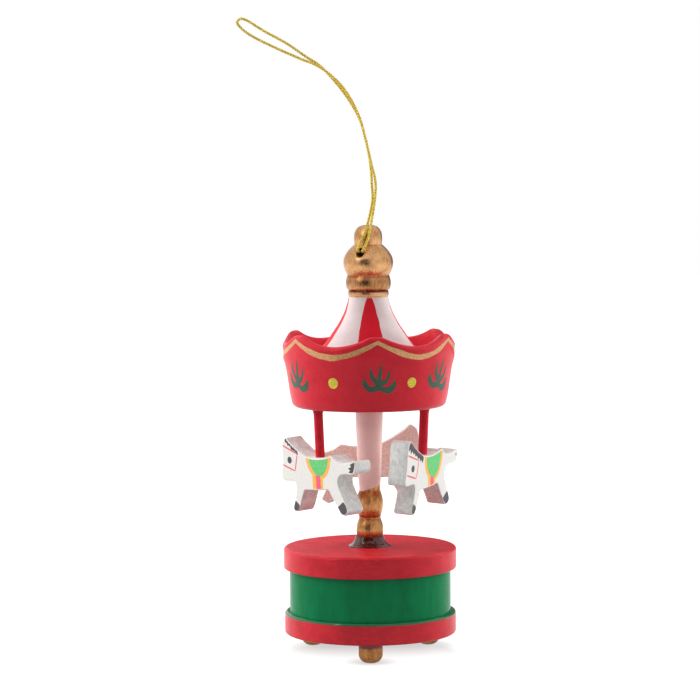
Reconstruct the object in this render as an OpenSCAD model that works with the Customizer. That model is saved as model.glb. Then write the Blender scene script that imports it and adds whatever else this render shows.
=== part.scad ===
// Hanging carousel music box in painted wood, with a twist-to-wind movement in its base.
// The vertical axis of the turned base is Z, the feet stand on Z = 0 and the front is -Y.

/* [Base] */
// Diameter of the red base plate
base_d = 59.6; // [58:0.2:62]
// Diameter of the green drum wall
drum_d = 56; // [55:0.2:57]
// Inner diameter of the drum wall and of the pocket in the base plate
cavity_d = 49.6; // [49.2:0.2:50]
// Diameter of the turning lid
lid_d = 60; // [58:0.2:62]
// Height of the lid
lid_h = 7.4; // [6.5:0.1:8]
// Gap between the lid and the drum wall that it turns over
lid_gap = 0.3; // [0.2:0.05:0.5]

/* [Feet] */
// Diameter of a foot peg
foot_d = 8.2; // [7:0.1:9]
// Radius of the circle that the feet stand on
foot_circle_r = 23.4; // [22:0.1:24]
// Diameter of the small flat that a foot rests on
foot_flat_d = 2.2; // [2:0.1:3]

/* [Carousel] */
// Radius of the circle that the horse poles stand on
pole_circle_r = 20.2; // [20:0.1:22]
// Diameter of a horse pole
pole_d = 3.2; // [2.5:0.1:3.5]
// Thickness of a horse
horse_t = 6.7; // [5:0.1:7.5]
// Largest diameter of the crown
crown_d = 59.6; // [58:0.2:60]
// Depth of a scallop in the crown's rim
scallop_depth = 3.4; // [2:0.1:4]
// Diameter of the hole for the cord
cord_hole_d = 2.8; // [2.6:0.1:3]
// Diameter of the cord
cord_d = 1; // [0.8:0.1:1.1]

/* [Movement] */
// Tooth module of every gear
gear_module = 0.4; // [0.4]
// Teeth of the great wheel
great_teeth = 36; // [36]
// Teeth of the two pinions on the great wheel
crown_pinion_teeth = 12; // [12]
// Teeth of the first governor wheel
first_teeth = 24; // [24]
// Teeth of the idler wheel
idler_teeth = 24; // [24]
// Teeth of the idler and fan pinions
small_teeth = 10; // [10]
// Number of comb teeth
comb_teeth = 15; // [10:1:16]

/* [Hidden] */
$fn = 64;

// Heights of the base, from the feet up
plate_z = 6.7;
wall_z = 14.3;
floor_z = 10.6;
lid_z = 29.3;
lid_top_z = lid_z + lid_h;
wall_top_z = lid_z - lid_gap;
base_r = base_d / 2;
drum_r = drum_d / 2;
cavity_r = cavity_d / 2;
lid_r = lid_d / 2;
foot_r = foot_d / 2;
foot_round = foot_r - foot_flat_d / 2;
foot_angles = [-90, 30, 150];
foot_spigot_r = 2.2;
foot_spigot_h = 2.2;

// Heights of the upper assembly
crown_z = 85.5;
bowl_z = 101.6;
rim_z = 111.2;
roof_top_z = 123.5;
knob_top_z = 148.2;
cord_hole_z = 139.1;
cord_hole_angle = -112;
crown_r = crown_d / 2;
crown_wall = 2.9;
socket_depth = 5.5;
post_tenon_r = 2.7;
post_socket_z = lid_top_z - 4.2;
post_top_r = 4.8;
post_top_tenon_r = 3.5;
roof_tenon_r = 5;
roof_tenon_h = 4;
finial_tenon_r = 3;
finial_tenon_h = 4;
first_scoop_angle = 5;

// Poles, and how each horse sits on its pole: left, right, rear. Yaw and pitch turn it about the
// saddle, slide moves it along its length and lift along the pole.
// Each pole leans out by pole_tilt and stands on its circle at pole_circle_z.
pole_angles = [-148.5, -22.6, 94.5];
horse_yaw = [6.4, -3.5, 0];
horse_slide = [-0.6, 1.2, 1];
horse_pitch = [-1, 0, 4];
horse_lift = [-0.45, 0, 0.1];
horse_corner_r = 0.5;
seat_z = 69.3;
pole_foot_z = seat_z - 8;
pole_r = pole_d / 2;
pole_tilt = 2.7;
pole_circle_z = 77.5;
pole_collar_r = pole_r + 0.4;
pole_collar_h = 1.6;

// Radial room of a glued or pressed fit, and of a running fit
fit = 0.02;
running = 0.05;

// Movement
bed_z = floor_z;
bed_t = 1.5;
bed_top_z = bed_z + bed_t;
bed_r = 23.6;
screw_circle_r = 15;
screw_angles = [90, 210, 330];
screw_r = 0.95;
screw_head_r = 1.9;
screw_head_h = 1.2;
screw_sink = 0.4;
rivet_r = 0.6;
rivet_head_r = 0.9;
rivet_head_h = 0.35;
housing_r = 7.8;
housing_wall = 0.5;
housing_top_z = 18.6;
lower_bush_r = 2.2;
upper_bush_r = 2.6;
bush_flange_h = 0.3;
spring_h = 4.6;
spring_lift = 0.8;
arbor_r = 1.5;
arbor_core_r = 1.9;
arbor_pivot_r = 1;
great_pitch_r = gear_module * great_teeth / 2;
great_z = 19.4;
great_root_z = 20.5;
pitch_z = 20.9;
crown_tooth_half = 0.21;
crown_addendum = 0.26;
crown_flank = 25;
crown_tooth_w = 1.3;
pinion_play = 0.2;
ratchet_z = great_root_z + 0.05;
ratchet_t = 0.7;
ratchet_teeth = 12;
ratchet_r = 3.6;
click_r = 5.1;
click_angle = 60;
click_pin_r = 0.4;
click_head_r = 0.75;
click_head_h = 0.4;
pinion_pitch_r = gear_module * crown_pinion_teeth / 2;
axis_z = pitch_z + pinion_pitch_r;
pinion_w = 1;
wheel_w = 0.7;
cylinder_r = 4.6;
cylinder_x = [9.9, 20.3];
cylinder_arbor_x = [6.5, 22.2];
cylinder_bracket_x = [8.5, 20.9];
pin_h = 0.42;
pin_r = 0.14;
pin_root = 0.3;
tune_notes = 5;
comb_pitch = 0.62;
comb_x = 10.45;
comb_tip_y = -(cylinder_r + pin_h + 0.08);
comb_root_y = -10.4;
comb_back_y = -13.6;
comb_t = 0.8;
comb_slot_w = 0.18;
comb_mid_x = comb_x + comb_teeth * comb_pitch / 2;
comb_z = axis_z - comb_t / 2;
comb_screw_x = [comb_mid_x - 3, comb_mid_x + 3];
comb_screw_y = -12;
comb_screw_r = 0.7;
comb_screw_depth = 3.6;
comb_screw_head_r = 1.3;
comb_screw_head_h = 0.8;
anvil_w = 8.6;
anvil_y = [-13.4, -10.6];
bracket_t = 0.9;
bracket_foot_t = 0.9;
bracket_above_axis = 2;
hub_r = 6.5;
hub_t = 1.2;
hub_neck_r = 3.2;
hub_neck_z = 25;
hub_circle_r = 4.8;
hub_screw_r = 0.8;
hub_screw_head_r = 1.4;
hub_screw_head_h = 0.7;
hub_screw_depth = 3.8;

// Governor train: each axis is a [y, z] point and its arbor lies along X
axis_first = [0, axis_z];
first_to_idler = gear_module * (first_teeth + small_teeth) / 2;
idler_to_fan = gear_module * (idler_teeth + small_teeth) / 2;
idler_turn = -17;
fan_turn = 215;
axis_idler = axis_first + first_to_idler * [cos(idler_turn), sin(idler_turn)];
axis_fan = axis_idler + idler_to_fan * [cos(fan_turn), sin(fan_turn)];
train_arbor_r = 0.5;
cylinder_arbor_r = 0.6;
governor_arbor_x = [-14.9, -6.5];
idler_arbor_x = [-14.9, -8.2];
fan_arbor_x = [-21, -8.2];
first_wheel_x = -10.8;
idler_wheel_x = -12.8;
small_pinion_w = wheel_w + 0.2;
small_pinion_back = 0.1;
governor_bracket_x = [-9.4, -14.6];
governor_plate_y = [-2.4, 9.2];
governor_foot_y = [-6, 12.4];
governor_foot_len = 1.9;
governor_bores = [[axis_first, cylinder_arbor_r], [axis_idler, train_arbor_r], [axis_fan, train_arbor_r]];
cylinder_plate_y = [-3, 3];
cylinder_foot_len = 3;
fan_x = -20.4;
fan_w = 5;
fan_span = 9;
fan_blade_t = 0.4;
fan_hub_r = 1.2;

// Rivets of the cylinder's two brackets, then of the governor's
rivet_points = [
    [10.9, 2], [10.9, -2], [19.4, 2], [19.4, -2],
    [-10.35, 11], [-10.35, -4.6], [-12.75, 11], [-12.75, -4.6]
];

// Outline of a horse about its pole hole: x runs to the nose, y is up from the saddle's dip
horse_neck = [[4.7, 0.5], [9.1, 2.4], [13.7, 5], [15.3, 6.4]];
horse_head = [
    [16.4, 6.3], [17.6, 5], [18, 3.7], [18.3, -3.5], [19.2, -6.5], [19, -8.3], [18.2, -8.9], [11.9, -8.6]
];
horse_foreleg = [
    [11, -10.4], [11.5, -13], [12.6, -16.2], [13.5, -18], [12.8, -19.3], [10.8, -19.1], [9.3, -17], [6.5, -11.3]
];
horse_belly = [[-1.5, -10.9], [-7.3, -10.2]];
horse_hindleg = [
    [-10.1, -14], [-11.9, -15.9], [-13.6, -18.3], [-15.8, -18.8], [-18.1, -17.1],
    [-16.5, -14.2], [-14.3, -11], [-12.8, -8.3], [-12.9, -6.3], [-14.1, -5]
];
horse_tail = [
    [-16.6, -4.4], [-21.8, -4.3], [-22.9, -3.3], [-23.2, -2.4], [-23.2, -0.3], [-22.4, 0.3], [-18.6, -0.4]
];
horse_rump = [[-15.6, -0.8], [-12.6, -0.1], [-10.8, 1], [-9.7, 1.5]];
horse_seat = [[-6.2, 0.6], [-2.4, 0.1], [1.2, 0.05]];
horse_outline = concat(
    horse_neck, horse_head, horse_foreleg, horse_belly, horse_hindleg, horse_tail, horse_rump, horse_seat
);

// Route of the cord: out of the bore, up and round the loop, and back into the bore
cord_bore_in = -7.9;
cord_bore_out = 6;
cord_bore_side = 0.62;
bore_dir = [cos(cord_hole_angle), sin(cord_hole_angle), 0];
bore_side = [-sin(cord_hole_angle), cos(cord_hole_angle), 0];
cord_rise = [
    [-3.6, -7.6, 139.8], [-3.2, -7.1, 141.4], [-2.4, -6.3, 143], [-0.9, -5.6, 146],
    [1.5, -4.2, 155.8], [1.4, -3.4, 162.7], [0.9, -2.5, 169.6], [-0.6, -1.7, 177.5]
];
cord_bow = [
    [-3, -1.2, 185.4], [-8.4, -1, 194.2], [-15.5, -1, 202.3], [-21.3, -1.3, 206.3],
    [-27.7, -1.5, 210.7], [-35.1, -1.5, 214.8], [-40.5, -1.5, 218.2]
];
cord_tip = [[-43, -1.5, 219.1], [-44.4, -1.5, 218], [-43.6, -1.5, 216.5]];
cord_return = [
    [-41, -1.6, 214.2], [-36.5, -1.7, 211.6], [-29.6, -1.8, 208.3], [-22.1, -2, 205],
    [-17.4, -2.1, 203.1], [-12.3, -2.1, 199.5], [-7.4, -2.1, 194.2], [-3, -2.2, 186]
];
cord_fall = [
    [-0.6, -2.8, 177.5], [1.2, -3.6, 169.6], [2.7, -4.4, 162.7], [2.2, -5.2, 155.3],
    [0.5, -6.4, 145.9], [-0.2, -7, 143.2], [-0.9, -7.7, 141.4], [-1.8, -8.1, 139.8]
];
cord_route = concat(
    [for (s = [cord_bore_in, 0, cord_bore_out]) in_bore(s, -cord_bore_side)],
    cord_rise, cord_bow, cord_tip, cord_return, cord_fall,
    [for (s = [cord_bore_out, 0, cord_bore_in]) in_bore(s, cord_bore_side)]
);
knot_r = 1.6;
knot_s = -8.9;
cord_rings = 80;
cord_sides = 8;

// How far a cutter stands out past the face it cuts
past = 1;

// Points of an arc, from angle a to angle b in n steps
function arc(c, r, a, b, n = 8) =
    [for (i = [0:n]) let (t = a + (b - a) * i / n) c + r * [cos(t), sin(t)]];

// Involute angle at radius r of a gear with base radius rb, in degrees
function involute(rb, r) = sqrt(max(0, pow(r / rb, 2) - 1)) * 180 / PI - acos(min(1, rb / r));

// Half the angle that a tooth spans at radius r
function half_tooth(teeth, rp, rb, r, play) =
    90 / teeth - play / rp * 90 / PI + involute(rb, rp) - involute(rb, r);

// Outline of a spur gear whose first tooth points along +X
function gear_outline(teeth, play = 0.1, flat = 25, n = 4) =
    let (
        rp = gear_module * teeth / 2,
        rb = rp * cos(flat),
        root = rp - 1.1 * gear_module,
        low = max(rb, root),
        tip = rp + 0.8 * gear_module
    )
    [for (t = [0:teeth - 1], p = concat(
        [[root, -half_tooth(teeth, rp, rb, low, play)]],
        [for (i = [0:n]) let (r = low + (tip - low) * i / n) [r, -half_tooth(teeth, rp, rb, r, play)]],
        [for (i = [n:-1:0]) let (r = low + (tip - low) * i / n) [r, half_tooth(teeth, rp, rb, r, play)]],
        [[root, half_tooth(teeth, rp, rb, low, play)]]
    )) p[0] * [cos(360 * t / teeth + p[1]), sin(360 * t / teeth + p[1])]];

// Lays a shape drawn in XY and raised along Z along the X axis, about the point yz
module along_x(x, yz = [0, 0]) {
    translate([x, yz[0], yz[1]]) rotate([90, 0, 90]) children();
}

module spur_gear(teeth, w, bore_r, turn = 0, play = 0.1) {
    linear_extrude(w) difference() {
        rotate(turn) polygon(gear_outline(teeth, play));
        circle(r = bore_r);
    }
}

// Pinion that rides on the great wheel's standing teeth
module crown_pinion(x) {
    along_x(x, axis_first)
        spur_gear(
            crown_pinion_teeth, pinion_w, cylinder_arbor_r + fit, 180 / crown_pinion_teeth, pinion_play
        );
}

module arbor(span, r, yz) {
    along_x(span[0], yz) cylinder(r = r, h = span[1] - span[0]);
}

module at_polar(r, a, z = 0) {
    translate([r * cos(a), r * sin(a), z]) children();
}

// Frame of a pole: local Z runs up the pole, and z is the height above the feet
module on_pole(i, z) {
    at_polar(pole_circle_r, pole_angles[i], pole_circle_z)
        rotate(pole_angles[i]) rotate([0, pole_tilt, 0]) rotate(-pole_angles[i])
            translate([0, 0, z - pole_circle_z]) children();
}

// ---- Base ----

module base_plate() {
    edge = 0.8;
    shoulder = 0.9;
    color("firebrick") difference() {
        rotate_extrude() polygon(concat(
            [[0, plate_z]],
            arc([base_r - edge, plate_z + edge], edge, -90, 0, 4),
            arc([base_r - shoulder, wall_z - shoulder], shoulder, 0, 90, 5),
            [[cavity_r, wall_z], [cavity_r, floor_z], [0, floor_z]]
        ));
        for (a = foot_angles)
            at_polar(foot_circle_r, a, plate_z - past) cylinder(r = foot_spigot_r, h = foot_spigot_h + past);
        for (a = screw_angles) {
            at_polar(screw_circle_r, a, plate_z - past)
                cylinder(r = screw_head_r + 0.3, h = screw_sink + screw_head_h + past);
            at_polar(screw_circle_r, a, plate_z) cylinder(r = screw_r + 0.15, h = floor_z);
        }
    }
}

module drum_wall() {
    color("darkgreen") translate([0, 0, wall_z]) difference() {
        cylinder(r = drum_r, h = wall_top_z - wall_z, $fn = 96);
        translate([0, 0, -past]) cylinder(r = cavity_r, h = wall_top_z, $fn = 96);
    }
}

module foot(a) {
    color("peru") at_polar(foot_circle_r, a) rotate_extrude() polygon(concat(
        [[0, 0]],
        arc([foot_r - foot_round, foot_round], foot_round, -90, 0, 10),
        [[foot_r, plate_z], [foot_spigot_r, plate_z],
         [foot_spigot_r, plate_z + foot_spigot_h], [0, plate_z + foot_spigot_h]]
    ));
}

module foot_front() { foot(foot_angles[0]); }
module foot_right() { foot(foot_angles[1]); }
module foot_left() { foot(foot_angles[2]); }

// ---- Movement: fixed parts ----

module movement_screws() {
    slot = [6, 0.5, screw_sink + 0.5];
    color("silver") for (a = screw_angles) at_polar(screw_circle_r, a, plate_z + screw_sink) difference() {
        union() {
            cylinder(r = screw_head_r, h = screw_head_h);
            cylinder(r = screw_r, h = bed_top_z - plate_z - screw_sink);
        }
        translate([-slot[0] / 2, -slot[1] / 2, -screw_sink]) cube(slot);
    }
}

module bedplate() {
    color("silver") translate([0, 0, bed_z]) difference() {
        through = bed_t + 2 * past;
        cylinder(r = bed_r, h = bed_t);
        translate([0, 0, -past]) cylinder(r = lower_bush_r, h = through);
        for (a = screw_angles) at_polar(screw_circle_r, a, -past) cylinder(r = screw_r + fit, h = through);
        for (p = rivet_points) translate([p[0], p[1], -past]) cylinder(r = rivet_r, h = through);
    }
}

module bracket_rivets() {
    color("goldenrod") for (p = rivet_points) translate([p[0], p[1], bed_z]) {
        cylinder(r = rivet_r - fit, h = bed_t + bracket_foot_t);
        translate([0, 0, bed_t + bracket_foot_t]) cylinder(r = rivet_head_r, h = rivet_head_h);
    }
}

module spring_housing() {
    roof_z = housing_top_z - housing_wall;
    color("gold") difference() {
        translate([0, 0, bed_top_z]) cylinder(r = housing_r, h = housing_top_z - bed_top_z);
        translate([0, 0, bed_z]) cylinder(r = housing_r - housing_wall, h = roof_z - bed_z);
        cylinder(r = upper_bush_r, h = lid_z);
    }
}

// Flat spiral strip, wound five times round the arbor
module mainspring() {
    turns = 5;
    steps = turns * 16;
    r0 = 2.3;
    r1 = 6.9;
    strip = 0.3;
    function spiral(extra) = [for (i = [0:steps]) let (r = r0 + (r1 - r0) * i / steps + extra)
        r * [cos(360 * turns * i / steps), sin(360 * turns * i / steps)]];
    inner = spiral(0);
    outer = spiral(strip);
    color("slategray") translate([0, 0, bed_top_z + spring_lift]) linear_extrude(spring_h)
        polygon(concat(inner, [for (i = [steps:-1:0]) outer[i]]));
}

module ring(r_out, r_in, z0, z1) {
    translate([0, 0, z0]) difference() {
        cylinder(r = r_out, h = z1 - z0);
        translate([0, 0, -past]) cylinder(r = r_in, h = z1 - z0 + 2 * past);
    }
}

module lower_arbor_bush() {
    color("gold") ring(lower_bush_r - fit, arbor_pivot_r + running, bed_z + 0.1, bed_top_z + bush_flange_h);
}

module upper_arbor_bush() {
    color("gold") ring(
        upper_bush_r - fit, arbor_r + running, housing_top_z - 0.7, housing_top_z + bush_flange_h
    );
}

module comb_anvil() {
    size = [anvil_w, anvil_y[1] - anvil_y[0], comb_z - bed_top_z];
    color("darkgray") difference() {
        translate([comb_mid_x - anvil_w / 2, anvil_y[0], bed_top_z]) cube(size);
        for (x = comb_screw_x) translate([x, comb_screw_y, comb_z - comb_screw_depth - 0.4])
            cylinder(r = comb_screw_r, h = comb_screw_depth + past);
    }
}

module comb() {
    size = [comb_teeth * comb_pitch, comb_tip_y - comb_back_y, comb_t];
    color("lightsteelblue") difference() {
        translate([comb_x, comb_back_y, comb_z]) cube(size);
        for (i = [1:comb_teeth - 1])
            translate([comb_x + i * comb_pitch - comb_slot_w / 2, comb_root_y, comb_z - past])
                cube([comb_slot_w, -comb_root_y, comb_t + 2 * past]);
        for (x = comb_screw_x) translate([x, comb_screw_y, comb_z - past])
            cylinder(r = comb_screw_r, h = comb_t + 2 * past);
    }
}

module comb_screws() {
    color("silver") for (x = comb_screw_x) translate([x, comb_screw_y, comb_z]) {
        translate([0, 0, -comb_screw_depth]) cylinder(r = comb_screw_r - fit, h = comb_screw_depth + comb_t);
        translate([0, 0, comb_t]) cylinder(r = comb_screw_head_r, h = comb_screw_head_h);
    }
}

// Upright plate with a foot for its rivets and a bore for each arbor.
// plate_y and foot_y are spans along Y, and foot_dir is the side of X that the foot points to.
module bracket(x, foot_dir, foot_len, plate_y, foot_y, bores) {
    foot_x = foot_dir > 0 ? x : x - foot_len;
    plate = [bracket_t, plate_y[1] - plate_y[0], axis_z + bracket_above_axis - bed_top_z];
    foot = [foot_len + bracket_t, foot_y[1] - foot_y[0], bracket_foot_t];
    difference() {
        union() {
            translate([x, plate_y[0], bed_top_z]) cube(plate);
            translate([foot_x, foot_y[0], bed_top_z]) cube(foot);
        }
        for (b = bores) along_x(x - past, b[0])
            cylinder(r = b[1] + running, h = bracket_t + 2 * past, $fn = 32);
        for (p = rivet_points) translate([p[0], p[1], bed_z]) cylinder(r = rivet_r, h = 3);
    }
}

module cylinder_bracket(x, foot_dir) {
    color("gold") bracket(
        x, foot_dir, cylinder_foot_len, cylinder_plate_y, cylinder_plate_y, [[axis_first, cylinder_arbor_r]]
    );
}

module governor_bracket(x, foot_dir) {
    color("gold") bracket(x, foot_dir, governor_foot_len, governor_plate_y, governor_foot_y, governor_bores);
}

module cylinder_inner_bracket() { cylinder_bracket(cylinder_bracket_x[0], 1); }
module cylinder_outer_bracket() { cylinder_bracket(cylinder_bracket_x[1], -1); }
module governor_inner_bracket() { governor_bracket(governor_bracket_x[0], -1); }
module governor_outer_bracket() { governor_bracket(governor_bracket_x[1], 1); }

// ---- Turning assembly in the base ----

module turntable() {
    low_edge = 0.5;
    top_edge = 1.1;
    arbor_depth = 2.4;
    color("firebrick") difference() {
        rotate_extrude($fn = 96) polygon(concat(
            [[0, lid_z]],
            arc([lid_r - low_edge, lid_z + low_edge], low_edge, -90, 0, 4),
            arc([lid_r - top_edge, lid_top_z - top_edge], top_edge, 0, 90, 6),
            [[0, lid_top_z]]
        ));
        translate([0, 0, post_socket_z]) cylinder(r = post_tenon_r + fit, h = lid_h);
        translate([0, 0, lid_z - past]) cylinder(r = arbor_r + fit, h = arbor_depth + past);
        for (i = [0:2]) at_polar(hub_circle_r, 120 * i, lid_z - past)
            cylinder(r = hub_screw_r, h = hub_screw_depth + past + 0.2);
    }
}

module drive_hub() {
    color("silver") difference() {
        union() {
            translate([0, 0, lid_z - hub_t]) cylinder(r = hub_r, h = hub_t);
            translate([0, 0, hub_neck_z]) cylinder(r = hub_neck_r, h = lid_z - hub_neck_z);
        }
        translate([0, 0, hub_neck_z - past]) cylinder(r = arbor_r + fit, h = lid_h);
        for (i = [0:2]) at_polar(hub_circle_r, 120 * i, hub_neck_z) cylinder(r = hub_screw_r, h = lid_h);
    }
}

module hub_screws() {
    color("silver") for (i = [0:2]) at_polar(hub_circle_r, 120 * i, lid_z - hub_t) {
        translate([0, 0, -hub_screw_head_h]) cylinder(r = hub_screw_head_r, h = hub_screw_head_h);
        cylinder(r = hub_screw_r - fit, h = hub_t + hub_screw_depth);
    }
}

module winding_arbor() {
    color("silver") {
        translate([0, 0, bed_z + 0.2]) cylinder(r = arbor_pivot_r, h = 3);
        translate([0, 0, bed_top_z + 0.5]) cylinder(r = arbor_core_r, h = spring_h + 0.5);
        translate([0, 0, bed_top_z + 2]) cylinder(r = arbor_r, h = lid_z - bed_top_z);
    }
}

// Crown wheel: a plate with straight-sided teeth standing on its rim
module great_wheel() {
    wide = crown_tooth_half + (pitch_z - great_root_z) * tan(crown_flank);
    narrow = crown_tooth_half - crown_addendum * tan(crown_flank);
    tooth_h = pitch_z + crown_addendum - great_root_z;
    sunk = 0.05;
    rim_r = great_pitch_r + 0.75;
    color("gold") difference() {
        union() {
            translate([0, 0, great_z]) cylinder(r = rim_r, h = great_root_z - great_z);
            for (i = [0:great_teeth - 1]) rotate(360 * i / great_teeth)
                translate([rim_r - 0.05 - crown_tooth_w, 0, great_root_z - sunk])
                    rotate([90, 0, 90]) linear_extrude(crown_tooth_w)
                        polygon([[-wide, 0], [wide, 0], [narrow, tooth_h + sunk], [-narrow, tooth_h + sunk]]);
        }
        cylinder(r = arbor_r + fit, h = lid_z);
        at_polar(click_r, click_angle, great_z - past) cylinder(r = click_pin_r, h = 2 + past);
    }
}

module ratchet_wheel() {
    color("silver") translate([0, 0, ratchet_z]) linear_extrude(ratchet_t) difference() {
        polygon([for (i = [0:ratchet_teeth - 1], p = [[ratchet_r, 0], [ratchet_r - 0.8, 4]])
            p[0] * [cos(360 * i / ratchet_teeth + p[1]), sin(360 * i / ratchet_teeth + p[1])]]);
        circle(r = arbor_r + fit);
    }
}

// Pawl: each point is a radius and an angle past the click's own
module click() {
    corners = [[5.7, -8], [5.8, 8], [5, 16], [3.9, 34], [3.7, 30], [4.4, -8]];
    color("silver") translate([0, 0, ratchet_z]) linear_extrude(ratchet_t) difference() {
        polygon([for (c = corners) c[0] * [cos(click_angle + c[1]), sin(click_angle + c[1])]]);
        at_polar(click_r, click_angle) circle(r = click_pin_r, $fn = 32);
    }
}

module click_screw() {
    top = ratchet_z + ratchet_t;
    color("silver") at_polar(click_r, click_angle) {
        translate([0, 0, great_z + 0.1]) cylinder(r = click_pin_r - fit, h = top - great_z - 0.1);
        translate([0, 0, top]) cylinder(r = click_head_r, h = click_head_h);
    }
}

// ---- Upper assembly ----

module post() {
    color("mistyrose") rotate_extrude() polygon([
        [0, post_socket_z + 0.1], [post_tenon_r, post_socket_z + 0.1],
        [post_tenon_r, lid_top_z], [4.3, lid_top_z],
        [4.35, 39.7], [4.6, 41.1], [4.7, 42.5], [4.5, 44.2], [4.05, 45.6], [3.75, 46.4],
        [3.75, 46.9], [4.1, 48.1], [4.5, 49.8], [4.65, 51.8], [4.4, 53.8], [3.85, 55.6], [3.7, 56.2],
        [3.7, 57.8], [4, 61.3], [4.3, 69], [4.6, 77.7], [post_top_r, crown_z],
        [post_top_tenon_r, crown_z], [post_top_tenon_r, crown_z + socket_depth - 0.1],
        [0, crown_z + socket_depth - 0.1]
    ]);
}

// Clear glue run in round the foot of the post
module glue_fillet() {
    color("white", 0.5) translate([0, 0, lid_top_z]) rotate_extrude() polygon([
        [4.33, 0.02], [7.4, 0.02], [6.5, 0.35], [5.8, 0.9], [5.2, 1.7], [4.9, 2.6], [4.75, 3.5],
        [4.48, 3.5], [4.38, 2.9]
    ]);
}

module canopy() {
    scoop_half = 12.5;
    scoop_r = (pow(scoop_half, 2) + pow(scallop_depth, 2)) / (2 * scallop_depth);
    color("crimson") difference() {
        rotate_extrude($fn = 96) polygon(concat(
            [[0, crown_z]],
            arc([crown_r - 5.2, crown_z + 2.2], 2.2, -90, -10, 6),
            [[crown_r - 2.4, 90.4], [crown_r - 1.7, 95.5], [crown_r - 0.9, 100], [crown_r - 0.1, 106]],
            arc([crown_r - 1.4, rim_z - 1.4], 1.4, 0, 100, 6),
            [[crown_r - crown_wall, rim_z - 0.4], [crown_r - crown_wall - 0.3, 106]],
            arc([crown_r - crown_wall - 3.4, bowl_z + 2.4], 2.4, 0, -90, 6),
            [[0, bowl_z]]
        ));
        for (i = [0:5]) rotate(60 * i + first_scoop_angle)
            translate([crown_r / 2, 0, rim_z - scallop_depth + scoop_r])
                rotate([0, 90, 0]) cylinder(r = scoop_r, h = crown_r, $fn = 96);
        translate([0, 0, crown_z - past]) cylinder(r = post_top_tenon_r + fit, h = socket_depth + past);
        for (i = [0:2]) on_pole(i, crown_z - past) cylinder(r = pole_r + fit, h = socket_depth + past);
        translate([0, 0, bowl_z - roof_tenon_h]) cylinder(r = roof_tenon_r + fit, h = roof_tenon_h + past);
    }
}

module tent_roof() {
    color("white") rotate_extrude() polygon([
        [0, bowl_z - roof_tenon_h + 0.1], [roof_tenon_r, bowl_z - roof_tenon_h + 0.1],
        [roof_tenon_r, bowl_z + 0.02], [22, bowl_z + 0.02], [22, bowl_z + 0.9],
        [20.4, 103.2], [18, 104.7], [15.7, 106.6], [13.6, 109], [12.1, 111.1], [11, 112.7], [10, 114.2],
        [9.3, 115.6], [8.6, 117], [8, 118.3], [7.4, 120.4], [7, 122], [6.8, roof_top_z],
        [finial_tenon_r, roof_top_z], [finial_tenon_r, roof_top_z + finial_tenon_h],
        [0, roof_top_z + finial_tenon_h]
    ]);
}

module finial() {
    color("darkgoldenrod") difference() {
        rotate_extrude() polygon([
            [finial_tenon_r + fit, roof_top_z + 0.02], [6.7, roof_top_z + 0.02], [6.85, 124.2], [6.9, 124.8],
            [7.05, 125.6], [7.5, 126.6], [7.73, 127.8], [7.7, 129], [7.45, 130.1], [7.2, 130.8],
            [7.35, 131.2], [7.9, 132.3], [8.35, 133.6], [8.57, 135], [8.5, 136.3], [8.15, 137.4],
            [7.6, 138.4], [6.9, 139.4], [6, 140.4], [5.1, 141.2], [4.7, 141.5],
            [4.75, 142], [4.85, 143], [4.86, 144.2], [4.7, 145.4], [4.25, 146.4], [3.6, 147.3],
            [2.6, 147.9], [1.3, 148.15], [0, knob_top_z],
            [0, roof_top_z + finial_tenon_h + 0.1], [finial_tenon_r + fit, roof_top_z + finial_tenon_h + 0.1]
        ]);
        translate([0, 0, cord_hole_z]) rotate([0, 90, cord_hole_angle])
            translate([0, 0, -15]) cylinder(r = cord_hole_d / 2, h = 30);
    }
}

module pole(i) {
    color("firebrick") on_pole(i, pole_foot_z) {
        cylinder(r = pole_r, h = crown_z + socket_depth - 0.1 - pole_foot_z);
        translate([0, 0, crown_z - pole_collar_h - pole_foot_z])
            cylinder(r1 = pole_r, r2 = pole_collar_r, h = pole_collar_h - 0.12);
    }
}

module pole_left() { pole(0); }
module pole_right() { pole(1); }
module pole_rear() { pole(2); }

module horse(i) {
    color("whitesmoke") on_pole(i, seat_z + horse_lift[i]) difference() {
        rotate(pole_angles[i] - 90 + horse_yaw[i]) translate([horse_slide[i], horse_t / 2, 0])
            rotate([90, 0, 0]) linear_extrude(horse_t)
                offset(r = -horse_corner_r, $fn = 16) offset(r = 2 * horse_corner_r, $fn = 16)
                    offset(r = -horse_corner_r, $fn = 16) rotate(horse_pitch[i]) polygon(horse_outline);
        translate([0, 0, pole_foot_z - seat_z - horse_lift[i] - 0.1]) cylinder(r = pole_r + fit, h = 20);
    }
}

module horse_left() { horse(0); }
module horse_right() { horse(1); }
module horse_rear() { horse(2); }

// ---- Cord ----

// A point inside the bore: s along it towards the front, k to the side
function in_bore(s, k) = s * bore_dir + k * bore_side + [0, 0, cord_hole_z];

function unit(v) = v / norm(v);

// Catmull-Rom point at u, which runs over the route's points
function on_route(p, u) =
    let (
        last = len(p) - 1,
        i = min(floor(u), last - 1),
        t = u - i,
        a = p[max(i - 1, 0)],
        b = p[i],
        c = p[i + 1],
        d = p[min(i + 2, last)]
    )
    0.5 * (2 * b + (c - a) * t + (2 * a - 5 * b + 4 * c - d) * t * t + (3 * b - a - 3 * c + d) * t * t * t);

// Length of the route up to each of its points
function lengths(p, i = 0, sum = 0, out = [0]) =
    i >= len(p) - 1 ? out : let (s = sum + norm(p[i + 1] - p[i])) lengths(p, i + 1, s, concat(out, [s]));

// Place on the route, as a number of points, at the length s
function place(sums, s, i = 0) =
    i >= len(sums) - 2 || sums[i + 1] >= s
        ? i + (s - sums[i]) / (sums[i + 1] - sums[i])
        : place(sums, s, i + 1);

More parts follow.
